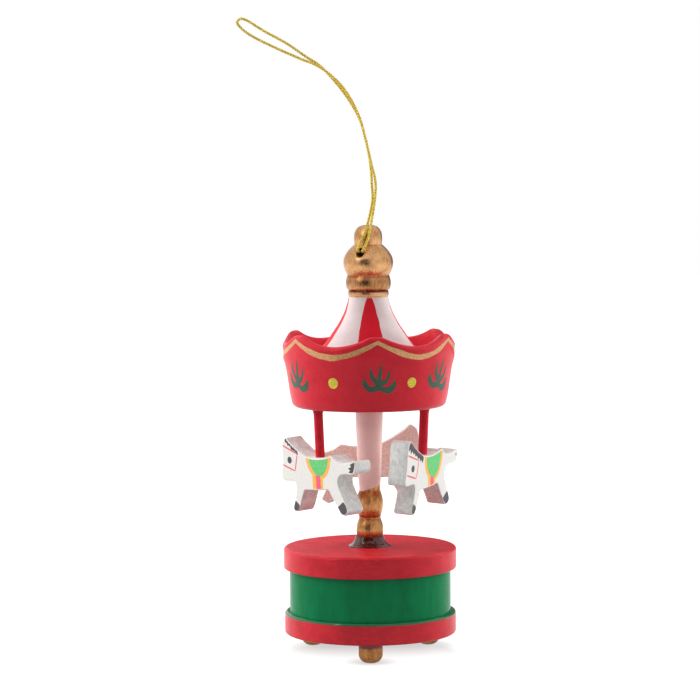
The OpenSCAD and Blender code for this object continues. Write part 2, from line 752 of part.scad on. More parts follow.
// Ring directions carried along the path without twist
function carried(tangents, i, side) =
    i == len(tangents) ? [] :
    let (s = unit(side - (side * tangents[i]) * tangents[i])) concat([s], carried(tangents, i + 1, s));

module tube(route, d, rings, sides) {
    sums = lengths(route);
    total = sums[len(sums) - 1];
    path = [for (i = [0:rings - 1]) on_route(route, place(sums, total * i / (rings - 1)))];
    tangents = [for (i = [0:rings - 1]) unit(path[min(i + 1, rings - 1)] - path[max(i - 1, 0)])];
    side = carried(tangents, 0, [0, 0, 1]);
    points = [for (i = [0:rings - 1], k = [0:sides - 1]) let (n = cross(tangents[i], side[i]))
        path[i] + d / 2 * (cos(360 * k / sides) * side[i] + sin(360 * k / sides) * n)];
    walls = [for (i = [0:rings - 2], k = [0:sides - 1])
        let (a = i * sides, b = a + sides, j = (k + 1) % sides) [b + k, b + j, a + j, a + k]];
    ends = [
        [for (k = [0:sides - 1]) k],
        [for (k = [sides - 1:-1:0]) (rings - 1) * sides + k]
    ];
    polyhedron(points = points, faces = concat(walls, ends), convexity = 8);
}

module hanging_cord() {
    color("gold") tube(cord_route, cord_d, cord_rings, cord_sides);
}

module cord_knot() {
    color("gold") translate(in_bore(knot_s, 0)) sphere(r = knot_r, $fn = 24);
}

// ---- Pinned cylinder ----

module pinned_cylinder() {
    length = cylinder_x[1] - cylinder_x[0];
    color("gold") along_x(cylinder_x[0], axis_first) difference() {
        union() {
            cylinder(r = cylinder_r, h = length);
            for (track = [0:comb_teeth - 1], n = [0:tune_notes - 1])
                rotate(360 * n / tune_notes + 37 * track + 11 * (track * n % 7))
                    translate([cylinder_r - pin_root, 0, comb_x - cylinder_x[0] + (track + 0.5) * comb_pitch])
                        rotate([0, 90, 0]) cylinder(r = pin_r, h = pin_h + pin_root, $fn = 6);
        }
        translate([0, 0, -past]) cylinder(r = cylinder_arbor_r + fit, h = length + 2 * past);
    }
}

module cylinder_arbor() {
    color("silver") arbor(cylinder_arbor_x, cylinder_arbor_r, axis_first);
}

module cylinder_pinion() {
    color("gold") crown_pinion(great_pitch_r - pinion_w / 2);
}

// ---- Governor ----

module governor_arbor() {
    color("silver") arbor(governor_arbor_x, cylinder_arbor_r, axis_first);
}

module governor_pinion() {
    color("gold") crown_pinion(-great_pitch_r - pinion_w / 2);
}

module governor_wheel() {
    color("gold") along_x(first_wheel_x, axis_first)
        spur_gear(first_teeth, wheel_w, cylinder_arbor_r + fit, idler_turn);
}

module idler_arbor() {
    color("silver") arbor(idler_arbor_x, train_arbor_r, axis_idler);
}

module idler_pinion() {
    color("silver") along_x(first_wheel_x - small_pinion_back, axis_idler)
        spur_gear(small_teeth, small_pinion_w, train_arbor_r + fit, idler_turn + 180 + 180 / small_teeth);
}

module idler_wheel() {
    color("gold") along_x(idler_wheel_x, axis_idler)
        spur_gear(idler_teeth, wheel_w, train_arbor_r + fit, fan_turn);
}

module fan_arbor() {
    color("silver") arbor(fan_arbor_x, train_arbor_r, axis_fan);
}

module fan_pinion() {
    color("silver") along_x(idler_wheel_x - small_pinion_back, axis_fan)
        spur_gear(small_teeth, small_pinion_w, train_arbor_r + fit, fan_turn + 180 + 180 / small_teeth);
}

module air_brake_fan() {
    color("gainsboro") along_x(fan_x, axis_fan) difference() {
        union() {
            cylinder(r = fan_hub_r, h = fan_w);
            translate([-fan_span / 2, -fan_blade_t / 2, 0]) cube([fan_span, fan_blade_t, fan_w]);
        }
        translate([0, 0, -past]) cylinder(r = train_arbor_r + fit, h = fan_w + 2 * past);
    }
}

base_plate();
drum_wall();
foot_front();
foot_right();
foot_left();
movement_screws();
bedplate();
bracket_rivets();
spring_housing();
mainspring();
lower_arbor_bush();
upper_arbor_bush();
comb_anvil();
comb();
comb_screws();
cylinder_inner_bracket();
cylinder_outer_bracket();
governor_inner_bracket();
governor_outer_bracket();
turntable();
drive_hub();
hub_screws();
winding_arbor();
great_wheel();
ratchet_wheel();
click();
click_screw();
post();
glue_fillet();
canopy();
tent_roof();
finial();
pole_left();
pole_right();
pole_rear();
horse_left();
horse_right();
horse_rear();
hanging_cord();
cord_knot();
pinned_cylinder();
cylinder_arbor();
cylinder_pinion();
governor_arbor();
governor_pinion();
governor_wheel();
idler_arbor();
idler_pinion();
idler_wheel();
fan_arbor();
fan_pinion();
air_brake_fan();
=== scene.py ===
import math
from functools import partial
import bmesh
import bpy
from mathutils import Matrix, Vector, geometry, noise


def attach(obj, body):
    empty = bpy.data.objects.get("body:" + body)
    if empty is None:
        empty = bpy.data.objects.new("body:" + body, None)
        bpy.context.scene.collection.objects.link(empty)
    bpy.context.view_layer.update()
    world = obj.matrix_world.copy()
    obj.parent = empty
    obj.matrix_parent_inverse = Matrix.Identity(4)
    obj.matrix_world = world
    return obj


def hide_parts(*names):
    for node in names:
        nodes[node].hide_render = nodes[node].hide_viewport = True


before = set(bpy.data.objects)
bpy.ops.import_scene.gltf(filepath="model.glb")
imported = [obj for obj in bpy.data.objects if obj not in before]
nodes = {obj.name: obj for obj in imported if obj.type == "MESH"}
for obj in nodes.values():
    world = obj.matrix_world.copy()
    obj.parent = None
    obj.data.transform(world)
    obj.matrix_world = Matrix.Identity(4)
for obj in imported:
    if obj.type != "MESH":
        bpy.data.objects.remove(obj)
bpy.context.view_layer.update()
scene = bpy.context.scene
mm = 0.001
weld = 0.002 * mm
print("stage: frame loaded,", len(nodes), "nodes")


# small tools

def linearColour(hexText):
    channels = [int(hexText[i:i + 2], 16) / 255 for i in (1, 3, 5)]
    return [c / 12.92 if c <= 0.04045 else ((c + 0.055) / 1.055) ** 2.4 for c in channels] + [1]


def addNode(tree, kind, values=(), **settings):
    # kind may end in an operation; values are constants or outputs, in a list or by input name
    kind, *operations = kind.split()
    node = tree.nodes.new(kind if "Node" in kind else "ShaderNode" + kind)
    for operation in operations:
        node.operation = operation
    for key, value in settings.items():
        setattr(node, key, value)
    for key, value in values.items() if isinstance(values, dict) else enumerate(values):
        if isinstance(value, bpy.types.NodeSocket):
            tree.links.new(value, node.inputs[key])
        else:
            node.inputs[key].default_value = value
    return node.outputs


def perMm(size):
    # texture scale that gives features of this many millimetres on Object coordinates
    return 1000 / size


def addObject(name, mesh):
    piece = bpy.data.objects.new(name, mesh)
    scene.collection.objects.link(piece)
    return piece


def meshFrom(name, points, faces=(), edges=()):
    mesh = bpy.data.meshes.new(name)
    mesh.from_pydata([Vector(p) for p in points], edges, faces)
    mesh.update()
    return mesh


def addLine(name, points):
    pairs = [(i, i + 1) for i in range(len(points) - 1)]
    return addObject(name, meshFrom(name, points, edges=pairs))


def finishMesh(mesh, crease=35):
    # merged, outward faces, smooth shading with true creases
    bm = bmesh.new()
    bm.from_mesh(mesh)
    bmesh.ops.remove_doubles(bm, verts=bm.verts, dist=weld)
    bmesh.ops.recalc_face_normals(bm, faces=bm.faces)
    if bm.calc_volume(signed=True) < 0:
        bmesh.ops.reverse_faces(bm, faces=bm.faces)
    for face in bm.faces:
        face.smooth = True
    bm.to_mesh(mesh)
    bm.free()
    mesh.set_sharp_from_angle(angle=math.radians(crease))
    return mesh


def smoothRun(points, steps=6):
    # Catmull-Rom through the points of one smooth run
    out = []
    last = len(points) - 1
    for i in range(last):
        a, b, c, d = (Vector(points[max(0, min(last, i + k))]) for k in (-1, 0, 1, 2))
        for s in range(steps):
            t = s / steps
            out.append(0.5 * (2 * b + (c - a) * t + (2 * a - 5 * b + 4 * c - d) * t ** 2
                              + (3 * b - a - 3 * c + d) * t ** 3))
    out.append(Vector(points[-1]))
    return out


def geometryTree(name, inputs):
    # inputs: kind of value -> names, besides the geometry and material that every tree takes
    tree = bpy.data.node_groups.new(name, "GeometryNodeTree")
    for kind, labels in {"Geometry": ["Geometry"], "Material": ["Material"], **inputs}.items():
        for label in labels:
            tree.interface.new_socket(label, in_out="INPUT", socket_type="NodeSocket" + kind)
    tree.interface.new_socket("Geometry", in_out="OUTPUT", socket_type="NodeSocketGeometry")
    add = partial(addNode, tree)
    return tree, add, add("NodeGroupInput")


def closeTree(add, given, geometrySocket):
    real = add("GeometryNodeRealizeInstances", {"Geometry": geometrySocket})
    painted = add("GeometryNodeSetMaterial", {"Geometry": real[0], "Material": given["Material"]})
    add("NodeGroupOutput", {"Geometry": painted[0]})


def grow(name, source, tree, values):
    # runs a geometry tree on the source and keeps the result as a plain mesh
    modifier = source.modifiers.new("grow", "NODES")
    modifier.node_group = tree
    ids = {item.name: item.identifier for item in tree.interface.items_tree if item.in_out == "INPUT"}
    for label, value in values.items():
        modifier[ids[label]] = value
    graph = bpy.context.evaluated_depsgraph_get()
    mesh = bpy.data.meshes.new_from_object(source.evaluated_get(graph), depsgraph=graph)
    source.modifiers.remove(modifier)
    bpy.data.objects.remove(source)
    mesh.name = name
    return mesh


def place(name, mesh, slotName, *replaced):
    piece = addObject(name, mesh)
    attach(piece, "carousel")
    if replaced:
        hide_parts(*replaced)
    return piece


# camera

cameraView = {"distance": 930, "height": 170.5, "pitch": -4.03, "yaw": 0.4, "roll": -0.4,
              "focalPixels": 2694, "picture": 700}


def makeCamera(v):
    data = bpy.data.cameras.new("camera")
    data.sensor_width = 36
    data.lens = v["focalPixels"] * data.sensor_width / v["picture"]
    data.clip_start, data.clip_end = 0.05, 20
    camera = bpy.data.objects.new("camera", data)
    scene.collection.objects.link(camera)
    turn = (Matrix.Rotation(math.radians(v["yaw"]), 4, "Z")
            @ Matrix.Rotation(math.radians(90 + v["pitch"]), 4, "X")
            @ Matrix.Rotation(math.radians(v["roll"]), 4, "Z"))
    camera.matrix_world = Matrix.Translation(Vector((0, -v["distance"], v["height"])) * mm) @ turn
    scene.camera = camera


makeCamera(cameraView)
print("stage: camera")


# materials

def startMaterial(name):
    material = bpy.data.materials.new(name)
    material.use_nodes = True
    material.node_tree.nodes.clear()
    add = partial(addNode, material.node_tree)
    return material, add, add("TexCoord")["Object"]


def closeMaterial(material, values, kind="BsdfPrincipled"):
    shader = addNode(material.node_tree, kind, values)
    addNode(material.node_tree, "OutputMaterial", {"Surface": shader[0]})
    return material


def blend(add, value, low, high, first, second, most=1.0):
    # how far the value is from low to high, and the colour that far from the first to the second
    share = add("MapRange", [value, low, high, 0.0, most])[0]
    colours = [linearColour(c) if isinstance(c, str) else c for c in (first, second)]
    return share, add("Mix", {"Factor": share, 6: colours[0], 7: colours[1]}, data_type="RGBA")[2]


def skinOf(add, shine, low, high, relief, depth, under=None):
    # roughness that varies with one pattern, and relief of that many mm from another
    bump = {"Height": relief, "Strength": 1.0, "Distance": depth * mm}
    return {"Roughness": add("MapRange", [shine, 0.3, 0.7, low, high])[0],
            "Normal": add("Bump", dict(bump, Normal=under) if under else bump)[0]}


def brushedEdge(add, spot, height, size, reach):
    # the height, shaken by noise of that size and reach in mm, so that a painted edge wanders
    wobble = add("TexNoise", {"Vector": spot, "Scale": perMm(size), "Detail": 2})[0]
    return add("Math MULTIPLY_ADD", [wobble, reach * mm, height])[0]


def lacquer(name, v):
    # sprayed lacquer on turned wood: blotched colour, grain telegraphing through, orange peel
    material, add, spot = startMaterial(name)
    stretched = add("Mapping", {"Vector": spot, "Scale": v["stretch"]})[0]
    blotch = add("TexNoise", {"Vector": spot, "Scale": perMm(v["blotch"]), "Detail": 3})[0]
    grain = add("TexNoise", {"Vector": stretched, "Scale": perMm(v["grain"]), "Detail": 4})[0]
    peel = add("TexNoise", {"Vector": spot, "Scale": perMm(v["peel"]), "Detail": 2})[0]
    both = add("Math ADD", [blotch, grain])[0]
    half = add("Math MULTIPLY", [both, 0.5])[0]
    colour = blend(add, half, 0.35, 0.65, v["dark"], v["light"])[1]
    ridge = add("Bump", {"Height": grain, "Strength": 1.0, "Distance": v["grainDepth"] * mm})[0]
    skin = skinOf(add, peel, v["rough"] - 0.05, v["rough"] + 0.07, peel, v["peelDepth"], ridge)
    return material, add, spot, skin | {"Base Color": colour}


crownPaint = {"dark": "#C22230", "light": "#DA2C3A", "blotch": 7, "grain": 1.4, "stretch": (1, 1, 6),
              "peel": 0.5, "rough": 0.36, "grainDepth": 0.02, "peelDepth": 0.006, "coat": 0.06,
              "shine": 0.12}
lidPaint = {"dark": "#B41E2A", "light": "#D42936", "blotch": 5, "grain": 1.1, "stretch": (0.3, 3, 3),
            "peel": 0.7, "rough": 0.34, "grainDepth": 0.02, "peelDepth": 0.014, "coat": 0.08, "shine": 0.12}
drumPaint = {"dark": "#006A3E", "light": "#007C48", "blotch": 9, "grain": 2.4, "stretch": (1, 1, 0.25),
             "peel": 0.6, "rough": 0.22, "grainDepth": 0.003, "peelDepth": 0.003, "coat": 0.12,
             "shine": 0.02}
poleStain = {"dark": "#B01525", "light": "#D62A38", "blotch": 3, "grain": 0.5, "stretch": (1, 1, 0.08),
             "peel": 0.4, "rough": 0.42, "grainDepth": 0.02, "peelDepth": 0.005, "coat": 0.0, "shine": 0.12}
whitePaint = {"dark": "#CCBCBC", "light": "#DAD0CF", "blotch": 6, "grain": 0.8, "stretch": (1, 1, 5),
              "peel": 0.5, "rough": 0.46, "grainDepth": 0.012, "peelDepth": 0.006}
# pink-tinted white for the column: partly thin white over red, partly painted red bounce from the lid and
# crown
columnPaintRedBounce = dict(whitePaint, dark="#E6C6C1", light="#F2D9D5")
bronzePaint = {"dark": "#A67548", "light": "#DAA876", "fleck": 0.35, "patch": 3, "brush": 0.4, "rough": 0.3,
               "grit": 0.012}
# darker bronze for the beads: painted reflection of the dark horses and red lid round them
beadBronzeReflectionShade = dict(bronzePaint, dark="#9C683A", light="#C99360")
footBronzePaint = {"dark": "#86562F", "light": "#B07C4B", "fleck": 0.4, "patch": 2.2, "brush": 0.5,
                   "rough": 0.5, "grit": 0.014, "glue": "#7A3B3A", "collarZ": 5.7}
# where bronze is rubbed thin to the red under it, and where the finial's collar and the groove below it are
# darkened as painted shade: lowest and highest mm, strength, colour
finialBoleAndShadeBands = [(124.9, 131.4, 0.6, "#7E4A2A"), (129.8, 131.6, 0.8, "#9A3A24"),
               (124.9, 126.0, 1.2, "#6E3420"), (123.3, 125.2, 0.7, "#C0977A")]
beadBands = [(45.4, 48.2, 0.75, "#8A3A22"), (53.4, 57.6, 0.5, "#9A4C2A"), (36.0, 41.5, 0.5, "#6A4028")]


def plainLacquer(name, v):
    material, _, _, values = lacquer(name, v)
    return closeMaterial(material, values | {
        "Coat Weight": v["coat"], "Coat Roughness": 0.15, "Specular IOR Level": v["shine"]})


# satin red lacquer on beech: soft reflections, a faint turned grain
crownLacquer = plainLacquer("satinRedLacquer", crownPaint)
# thicker red lacquer on the lid: a fine orange peel that mottles the gloss
lidLacquer = plainLacquer("orangePeelRedLacquer", lidPaint)
# green enamel on the ply drum: smooth and glossy, with little grain left to see
drumEnamel = plainLacquer("greenGlossEnamel", drumPaint)
# dyed birch dowel: long grain under a thin stain
poleDye = plainLacquer("redDyedDowel", poleStain)


def basePlateLacquer(v, green="#005A32", shoulder=13.45, coats=(0.1, 0.7)):
    # red lacquer whose upper shoulder, from that height, was caught by the green spray of the drum
    material, add, spot, values = lacquer("redLacquerGreenShoulder", v)
    height = add("SeparateXYZ", [spot])[2]
    edge = brushedEdge(add, spot, height, 4, 0.3)
    mask, paint = blend(add, edge, (shoulder + 0.1) * mm, (shoulder + 0.2) * mm, values["Base Color"],
                        green)
    coat = add("MapRange", [mask, 0.0, 1.0, coats[0], coats[1]])[0]
    return closeMaterial(material, values | {
        "Base Color": paint, "Coat Weight": coat, "Coat Roughness": 0.08, "Specular IOR Level": 0.12})


def bronzeParts(add, spot, v):
    # shader values of brushed-on bronze powder paint
    upright = add("Mapping", {"Vector": spot, "Scale": (1, 1, 0.12)})[0]
    noises = [add("TexNoise", {"Vector": at, "Scale": perMm(v[size]), "Detail": 3})[0]
              for at, size in ((spot, "fleck"), (spot, "patch"), (upright, "brush"))]
    fleck, patch, brush = noises
    mixed = add("Math ADD", [fleck, patch])[0]
    mixed = add("Math ADD", [mixed, brush])[0]
    colour = blend(add, mixed, 1.2, 1.75, v["dark"], v["light"])[1]
    rub = add("Bump", {"Height": brush, "Strength": 1.0, "Distance": 2 * v["grit"] * mm})[0]
    skin = skinOf(add, fleck, v["rough"] - 0.06, v["rough"] + 0.1, fleck, v["grit"], rub)
    return skin | {"Base Color": colour, "Metallic": 1.0}


def wornBronze(add, spot, v, boleAndShadeBands):
    # the same, rubbed thin to the red bole in the grooves; some bands darken a groove as painted shade
    values = bronzeParts(add, spot, v)
    colour = values["Base Color"]
    height = add("SeparateXYZ", [spot])[2]
    upright = add("Mapping", {"Vector": spot, "Scale": (1, 1, 0.3)})[0]
    rag = add("TexNoise", {"Vector": upright, "Scale": perMm(0.8), "Detail": 2})[0]
    for low, high, strength, under in boleAndShadeBands:
        middle, spread = (low + high) / 2 * mm, (high - low) / 2 * mm
        off = add("Math SUBTRACT", [height, middle])[0]
        away = add("Math ABSOLUTE", [off])[0]
        band = add("MapRange", [away, 0.3 * spread, spread, 1.6 * strength, 0.0])[0]
        boleShadeMask = add("Math MULTIPLY", [band, rag], use_clamp=True)[0]
        colour = add("Mix", {"Factor": boleShadeMask, 6: colour, 7: linearColour(under)}, data_type="RGBA")[2]
    return values | {"Base Color": colour}


def bronze(name, v, boleAndShadeBands):
    # bronze powder paint: metal flake with a grainy skin
    material, add, spot = startMaterial(name)
    return closeMaterial(material, wornBronze(add, spot, v, boleAndShadeBands))


def footBronze(v):
    # the same bronze, stained reddish where the peg is glued into the plate
    material, add, spot = startMaterial("bronzeFootPaint")
    values = bronzeParts(add, spot, v)
    height = add("SeparateXYZ", [spot])[2]
    edge = brushedEdge(add, spot, height, 2.5, 1.4)
    mask, paint = blend(add, edge, v["collarZ"] * mm, (v["collarZ"] + 0.5) * mm, values["Base Color"],
                        v["glue"])
    metal = add("MapRange", [mask, 0.0, 1.0, 1.0, 0.0])[0]
    return closeMaterial(material, values | {"Base Color": paint, "Metallic": metal})


def postPaintwork(v, bronzeValues, bands, edgeZ=57.0, slope=0.3):
    # white column over a bronze-painted bead section, the two meeting at a slanting brushed edge
    material, add, spot, white = lacquer("columnWhiteAndBronze", v)
    worn = wornBronze(add, spot, bronzeValues, bands)
    axes = add("SeparateXYZ", [spot])
    lean = add("Math MULTIPLY_ADD", [axes[0], -slope, axes[2]])[0]
    edge = brushedEdge(add, spot, lean, 2, 0.5)
    mask = add("MapRange", [edge, (edgeZ + 0.2) * mm, (edgeZ + 0.35) * mm, 1.0, 0.0])[0]
    mixed = {"Metallic": mask}
    # a mix node's sockets of each kind: where its two inputs start, and its output
    for key, kind, start, result in (("Base Color", "RGBA", 6, 2), ("Roughness", "FLOAT", 2, 0),
                                     ("Normal", "VECTOR", 4, 1)):
        both = {"Factor": mask, start: white[key], start + 1: worn[key]}
        mixed[key] = add("Mix", both, data_type=kind)[result]
    return closeMaterial(material, mixed)


roofPaintwork = {"goreAngles": [-174, -87, 4, 66, 127], "halfAngle": 18.4, "tipZ": 124.2, "fullZ": 114.5,
                 "red": "#C81A2A", "neckZ": 123.2, "neck": "#D8B892"}


def roofPaint(v, g):
    # white roof with red gores that narrow to a rounded tip, and a bronze-tinted neck
    material, add, spot, values = lacquer("roofWhiteWithRedGores", v)
    axes = add("SeparateXYZ", [spot])
    turn = add("Math ARCTAN2", [axes[1], axes[0]])[0]
    away = math.pi
    for degrees in g["goreAngles"]:
        off = add("Math SUBTRACT", [turn, math.radians(degrees)])[0]
        wrapped = add("Math WRAP", [off, math.pi, -math.pi])[0]
        near = add("Math ABSOLUTE", [wrapped])[0]
        away = add("Math MINIMUM", [away, near])[0]
    rise = add("MapRange", [axes[2], g["fullZ"] * mm, g["tipZ"] * mm, 0.0, 1.0])[0]
    square = add("Math POWER", [rise, 2.0])[0]
    rest = add("Math SUBTRACT", [1.0, square])[0]
    root = add("Math POWER", [rest, 0.55])[0]
    wobble = add("TexNoise", {"Vector": spot, "Scale": perMm(3), "Detail": 2})[0]
    shake = add("MapRange", [wobble, 0.3, 0.7, 0.97, 1.03])[0]
    wide = add("Math MULTIPLY", [root, shake])[0]
    half = add("Math MULTIPLY", [wide, math.radians(g["halfAngle"])])[0]
    gap = add("Math SUBTRACT", [half, away])[0]
    striped = blend(add, gap, -0.004, 0.006, values["Base Color"], g["red"])[1]
    paint = blend(add, axes[2], g["neckZ"] * mm, (g["neckZ"] + 0.15) * mm, striped, g["neck"], 0.8)[1]
    return closeMaterial(material, values | {"Base Color": paint, "Specular IOR Level": 0.12})


def inkPaint(name, hexText, rough=0.45, metallic=0.0, spread=0.2):
    # one hand-brushed colour coat: streaked pigment, slightly thicker at the brush marks
    material, add, spot = startMaterial(name)
    streak = add("TexNoise", {"Vector": spot, "Scale": perMm(0.6), "Detail": 3})[0]
    full = linearColour(hexText)
    thin = [min(1.0, c * (1 + spread) + 0.01) for c in full[:3]] + [1]
    deep = [c * (1 - spread) for c in full[:3]] + [1]
    colour = blend(add, streak, 0.35, 0.65, deep, thin)[1]
    skin = skinOf(add, streak, rough - 0.05, rough + 0.05, streak, 0.006)
    return closeMaterial(material, skin | {"Base Color": colour, "Metallic": metallic})


def sawnEdge(light="#F0F0EC", dark="#D0D2D0"):
    # sawn and thinly primed edge of a ply figure: silver-grey, with the marks of the saw in it
    material, add, spot = startMaterial("sawnEdgePrimer")
    upright = add("Mapping", {"Vector": spot, "Scale": (1.6, 1.6, 0.3)})[0]
    saw = add("TexNoise", {"Vector": upright, "Scale": perMm(0.5), "Detail": 3, "Distortion": 0.3})[0]
    patch = add("TexNoise", {"Vector": spot, "Scale": perMm(1.8), "Detail": 3})[0]
    both = add("Math ADD", [saw, patch])[0]
    colour = blend(add, both, 0.8, 1.2, dark, light)[1]
    return closeMaterial(material, skinOf(add, patch, 0.45, 0.65, saw, 0.05) | {"Base Color": colour})


def hotGlue(tint="#5A2A22", clearness=0.35):
    # set hot glue: glossy, partly see-through, rippled where it ran; its dark red-brown colour is painted
    # shade and a painted reflection of the red lid
    material, add, spot = startMaterial("hotGluePaintedShade")
    ripple = add("TexNoise", {"Vector": spot, "Scale": perMm(2.2), "Detail": 2})[0]
    return closeMaterial(material, skinOf(add, ripple, 0.03, 0.12, ripple, 0.07) | {
        "Base Color": linearColour(tint), "IOR": 1.5, "Transmission Weight": clearness})


def lurexThread(v):
    # metallised thread: flat gold foil wound round a core; its colour is painted lighter and darker turn by
    # turn as painted glints
    material, add, spot = startMaterial("goldLurexThread")
    along = add("Attribute", attribute_name="along")["Fac"]
    turns = add("Math MULTIPLY", [along, 2 * math.pi * perMm(v["wrap"])])[0]
    wave = add("Math SINE", [turns])[0]
    fray = add("TexNoise", {"Vector": spot, "Scale": perMm(0.5), "Detail": 2})[0]
    # painted glint: the colour rises and falls with each turn of the foil, with fray noise added
    lift = add("Math MULTIPLY_ADD", [wave, 0.18, fray])[0]
    colour = blend(add, lift, 0.35, 0.65, v["dark"], v["light"])[1]
    foil = add("Bump", {"Height": wave, "Strength": 1.0, "Distance": 0.02 * mm})[0]
    return closeMaterial(material, {
        "Base Color": colour, "Metallic": 0.55, "Roughness": 0.42, "Normal": foil})


def workedMetal(name, v):
    # machined or pressed metal of the movement: tool streaks, light stain, uneven gloss
    material, add, spot = startMaterial(name)
    drawn = add("Mapping", {"Vector": spot, "Scale": v["stretch"]})[0]
    tool = add("TexNoise", {"Vector": drawn, "Scale": perMm(v["tool"]), "Detail": 4})[0]
    stain = add("TexNoise", {"Vector": spot, "Scale": perMm(v["stain"]), "Detail": 3})[0]
    colour = blend(add, stain, 0.35, 0.65, v["dark"], v["light"])[1]
    skin = skinOf(add, tool, v["rough"] - 0.06, v["rough"] + 0.08, tool, v["depth"])
    return closeMaterial(material, skin | {"Base Color": colour, "Metallic": 1.0})


# the inner faces' rosier white is painted red bounce from the lid and crown, over a warmer whitewash
inks = {"white": ("horseWhiteGesso", "#DAD7D2"), "inner": ("innerGessoRedBounce", "#F1DED4"),
        "hoof": ("hoofGreyInk", "#322F37"), "green": ("saddleGreenInk", "#54BA66"),
        "amber": ("saddleAmberInk", "#ECA83E"), "pink": ("girthPinkInk", "#E34B70"),
        "rein": ("reinRedInk", "#DC4258"), "grey": ("maneGreyInk", "#302B31")}
threadValues = {"dark": "#B3922A", "light": "#F2DC66", "wrap": 0.55}
metals = {
    # turned brass, slightly stained
    "brass": {"dark": "#B08A45", "light": "#D9B56C", "stretch": (1, 1, 6), "tool": 0.4, "stain": 2.5,
              "rough": 0.3, "depth": 0.004},
    # bright nickel plate on steel
    "nickel_steel": {"dark": "#B9B6AE", "light": "#D6D3CB", "stretch": (6, 1, 1), "tool": 0.3, "stain": 3,
                     "rough": 0.22, "depth": 0.002},
    # blued spring steel, ground along its length
    "spring_steel": {"dark": "#6B6E76", "light": "#8F939B", "stretch": (8, 1, 1), "tool": 0.25, "stain": 2,
                     "rough": 0.3, "depth": 0.003},
    # zinc casting with a fine sandy skin
    "cast_anvil": {"dark": "#7E8082", "light": "#A3A5A6", "stretch": (1, 1, 1), "tool": 0.5, "stain": 2,
                   "rough": 0.5, "depth": 0.02},
    # rolled aluminium sheet, faint rolling lines
    "thin_aluminium": {"dark": "#B4B6B8", "light": "#D2D3D4", "stretch": (8, 1, 1), "tool": 0.3, "stain": 3,
                       "rough": 0.35, "depth": 0.002},
}
plateLacquer = basePlateLacquer(lidPaint)
finialBronze = bronze("bronzePowderPaint", bronzePaint, finialBoleAndShadeBands)
footPaint = footBronze(footBronzePaint)
postPaint = postPaintwork(columnPaintRedBounce, beadBronzeReflectionShade, beadBands)
roofLacquer = roofPaint(whitePaint, roofPaintwork)
crownGold = inkPaint("goldLinePaint", "#C39360", 0.4, 0.3)
leafGreen = inkPaint("leafGreenPaint", "#0D3C22", 0.45)
dotYellow = inkPaint("dotYellowPaint", "#D6C434", 0.4)
inkMaterials = {key: inkPaint(label, hexText, 0.5, 0.0, 0.04 if key == "white" else 0.14)
                for key, (label, hexText) in inks.items()}
inkMaterials["edge"] = sawnEdge()
glueClear = hotGlue()
goldThread = lurexThread(threadValues)
metalMaterials = {key: workedMetal(key.replace("_", " ").title().replace(" ", ""), v)
                  for key, v in metals.items()}
print("stage: materials")


# cord: a loop of thin gold thread through the finial, up, over and back, knotted behind

cordValues = {"holeZ": 139.1, "holeAngle": -112, "diameter": 1.0, "plies": 3, "ply": 0.27, "helix": 0.23,
              "pitch": 3.0, "step": 0.3, "sides": 7, "side": 0.62, "inside": [-7.9, 0, 6], "mouth": 7.6}
knotValues = {"middle": -8.9, "points": 120, "wide": 0.341, "deep": 0.558}
cordRise = [(-3.6, -7.6, 139.8), (-3.2, -7.1, 141.4), (-2.4, -6.3, 143), (-0.9, -5.6, 146),
            (1.5, -4.2, 155.8), (1.4, -3.4, 162.7), (0.9, -2.5, 169.6), (-0.6, -1.7, 177.5)]
cordBow = [(-3, -1.2, 185.4), (-8.4, -1, 194.2), (-15.5, -1, 202.3), (-21.3, -1.3, 206.3),
           (-27.7, -1.5, 210.7), (-35.1, -1.5, 214.8), (-40.5, -1.5, 218.2)]
cordTip = [(-43, -1.5, 219.1), (-44.4, -1.5, 218), (-43.6, -1.5, 216.5)]
cordReturn = [(-41, -1.6, 214.2), (-36.5, -1.7, 211.6), (-29.6, -1.8, 208.3), (-22.1, -2, 205),
              (-17.4, -2.1, 203.1), (-12.3, -2.1, 199.5), (-7.4, -2.1, 194.2), (-3, -2.2, 186)]
cordFall = [(-0.6, -2.8, 177.5), (1.2, -3.6, 169.6), (2.7, -4.4, 162.7), (2.2, -5.2, 155.3),
            (0.5, -6.4, 145.9), (-0.2, -7, 143.2), (-0.9, -7.7, 141.4), (-1.8, -8.1, 139.8)]


def inBore(s, k, v):
    # s along the bore towards the front, k to its side
    turn = math.radians(v["holeAngle"])
    return (s * math.cos(turn) - k * math.sin(turn), s * math.sin(turn) + k * math.cos(turn), v["holeZ"])


def cordPath(v):
    goingOut = [inBore(s, -v["side"], v) for s in v["inside"]]
    comingIn = [inBore(s, v["side"], v) for s in reversed(v["inside"])]
    route = goingOut + cordRise + cordBow + cordTip + cordReturn + cordFall + comingIn
    return [p * mm for p in smoothRun(route, 8)]


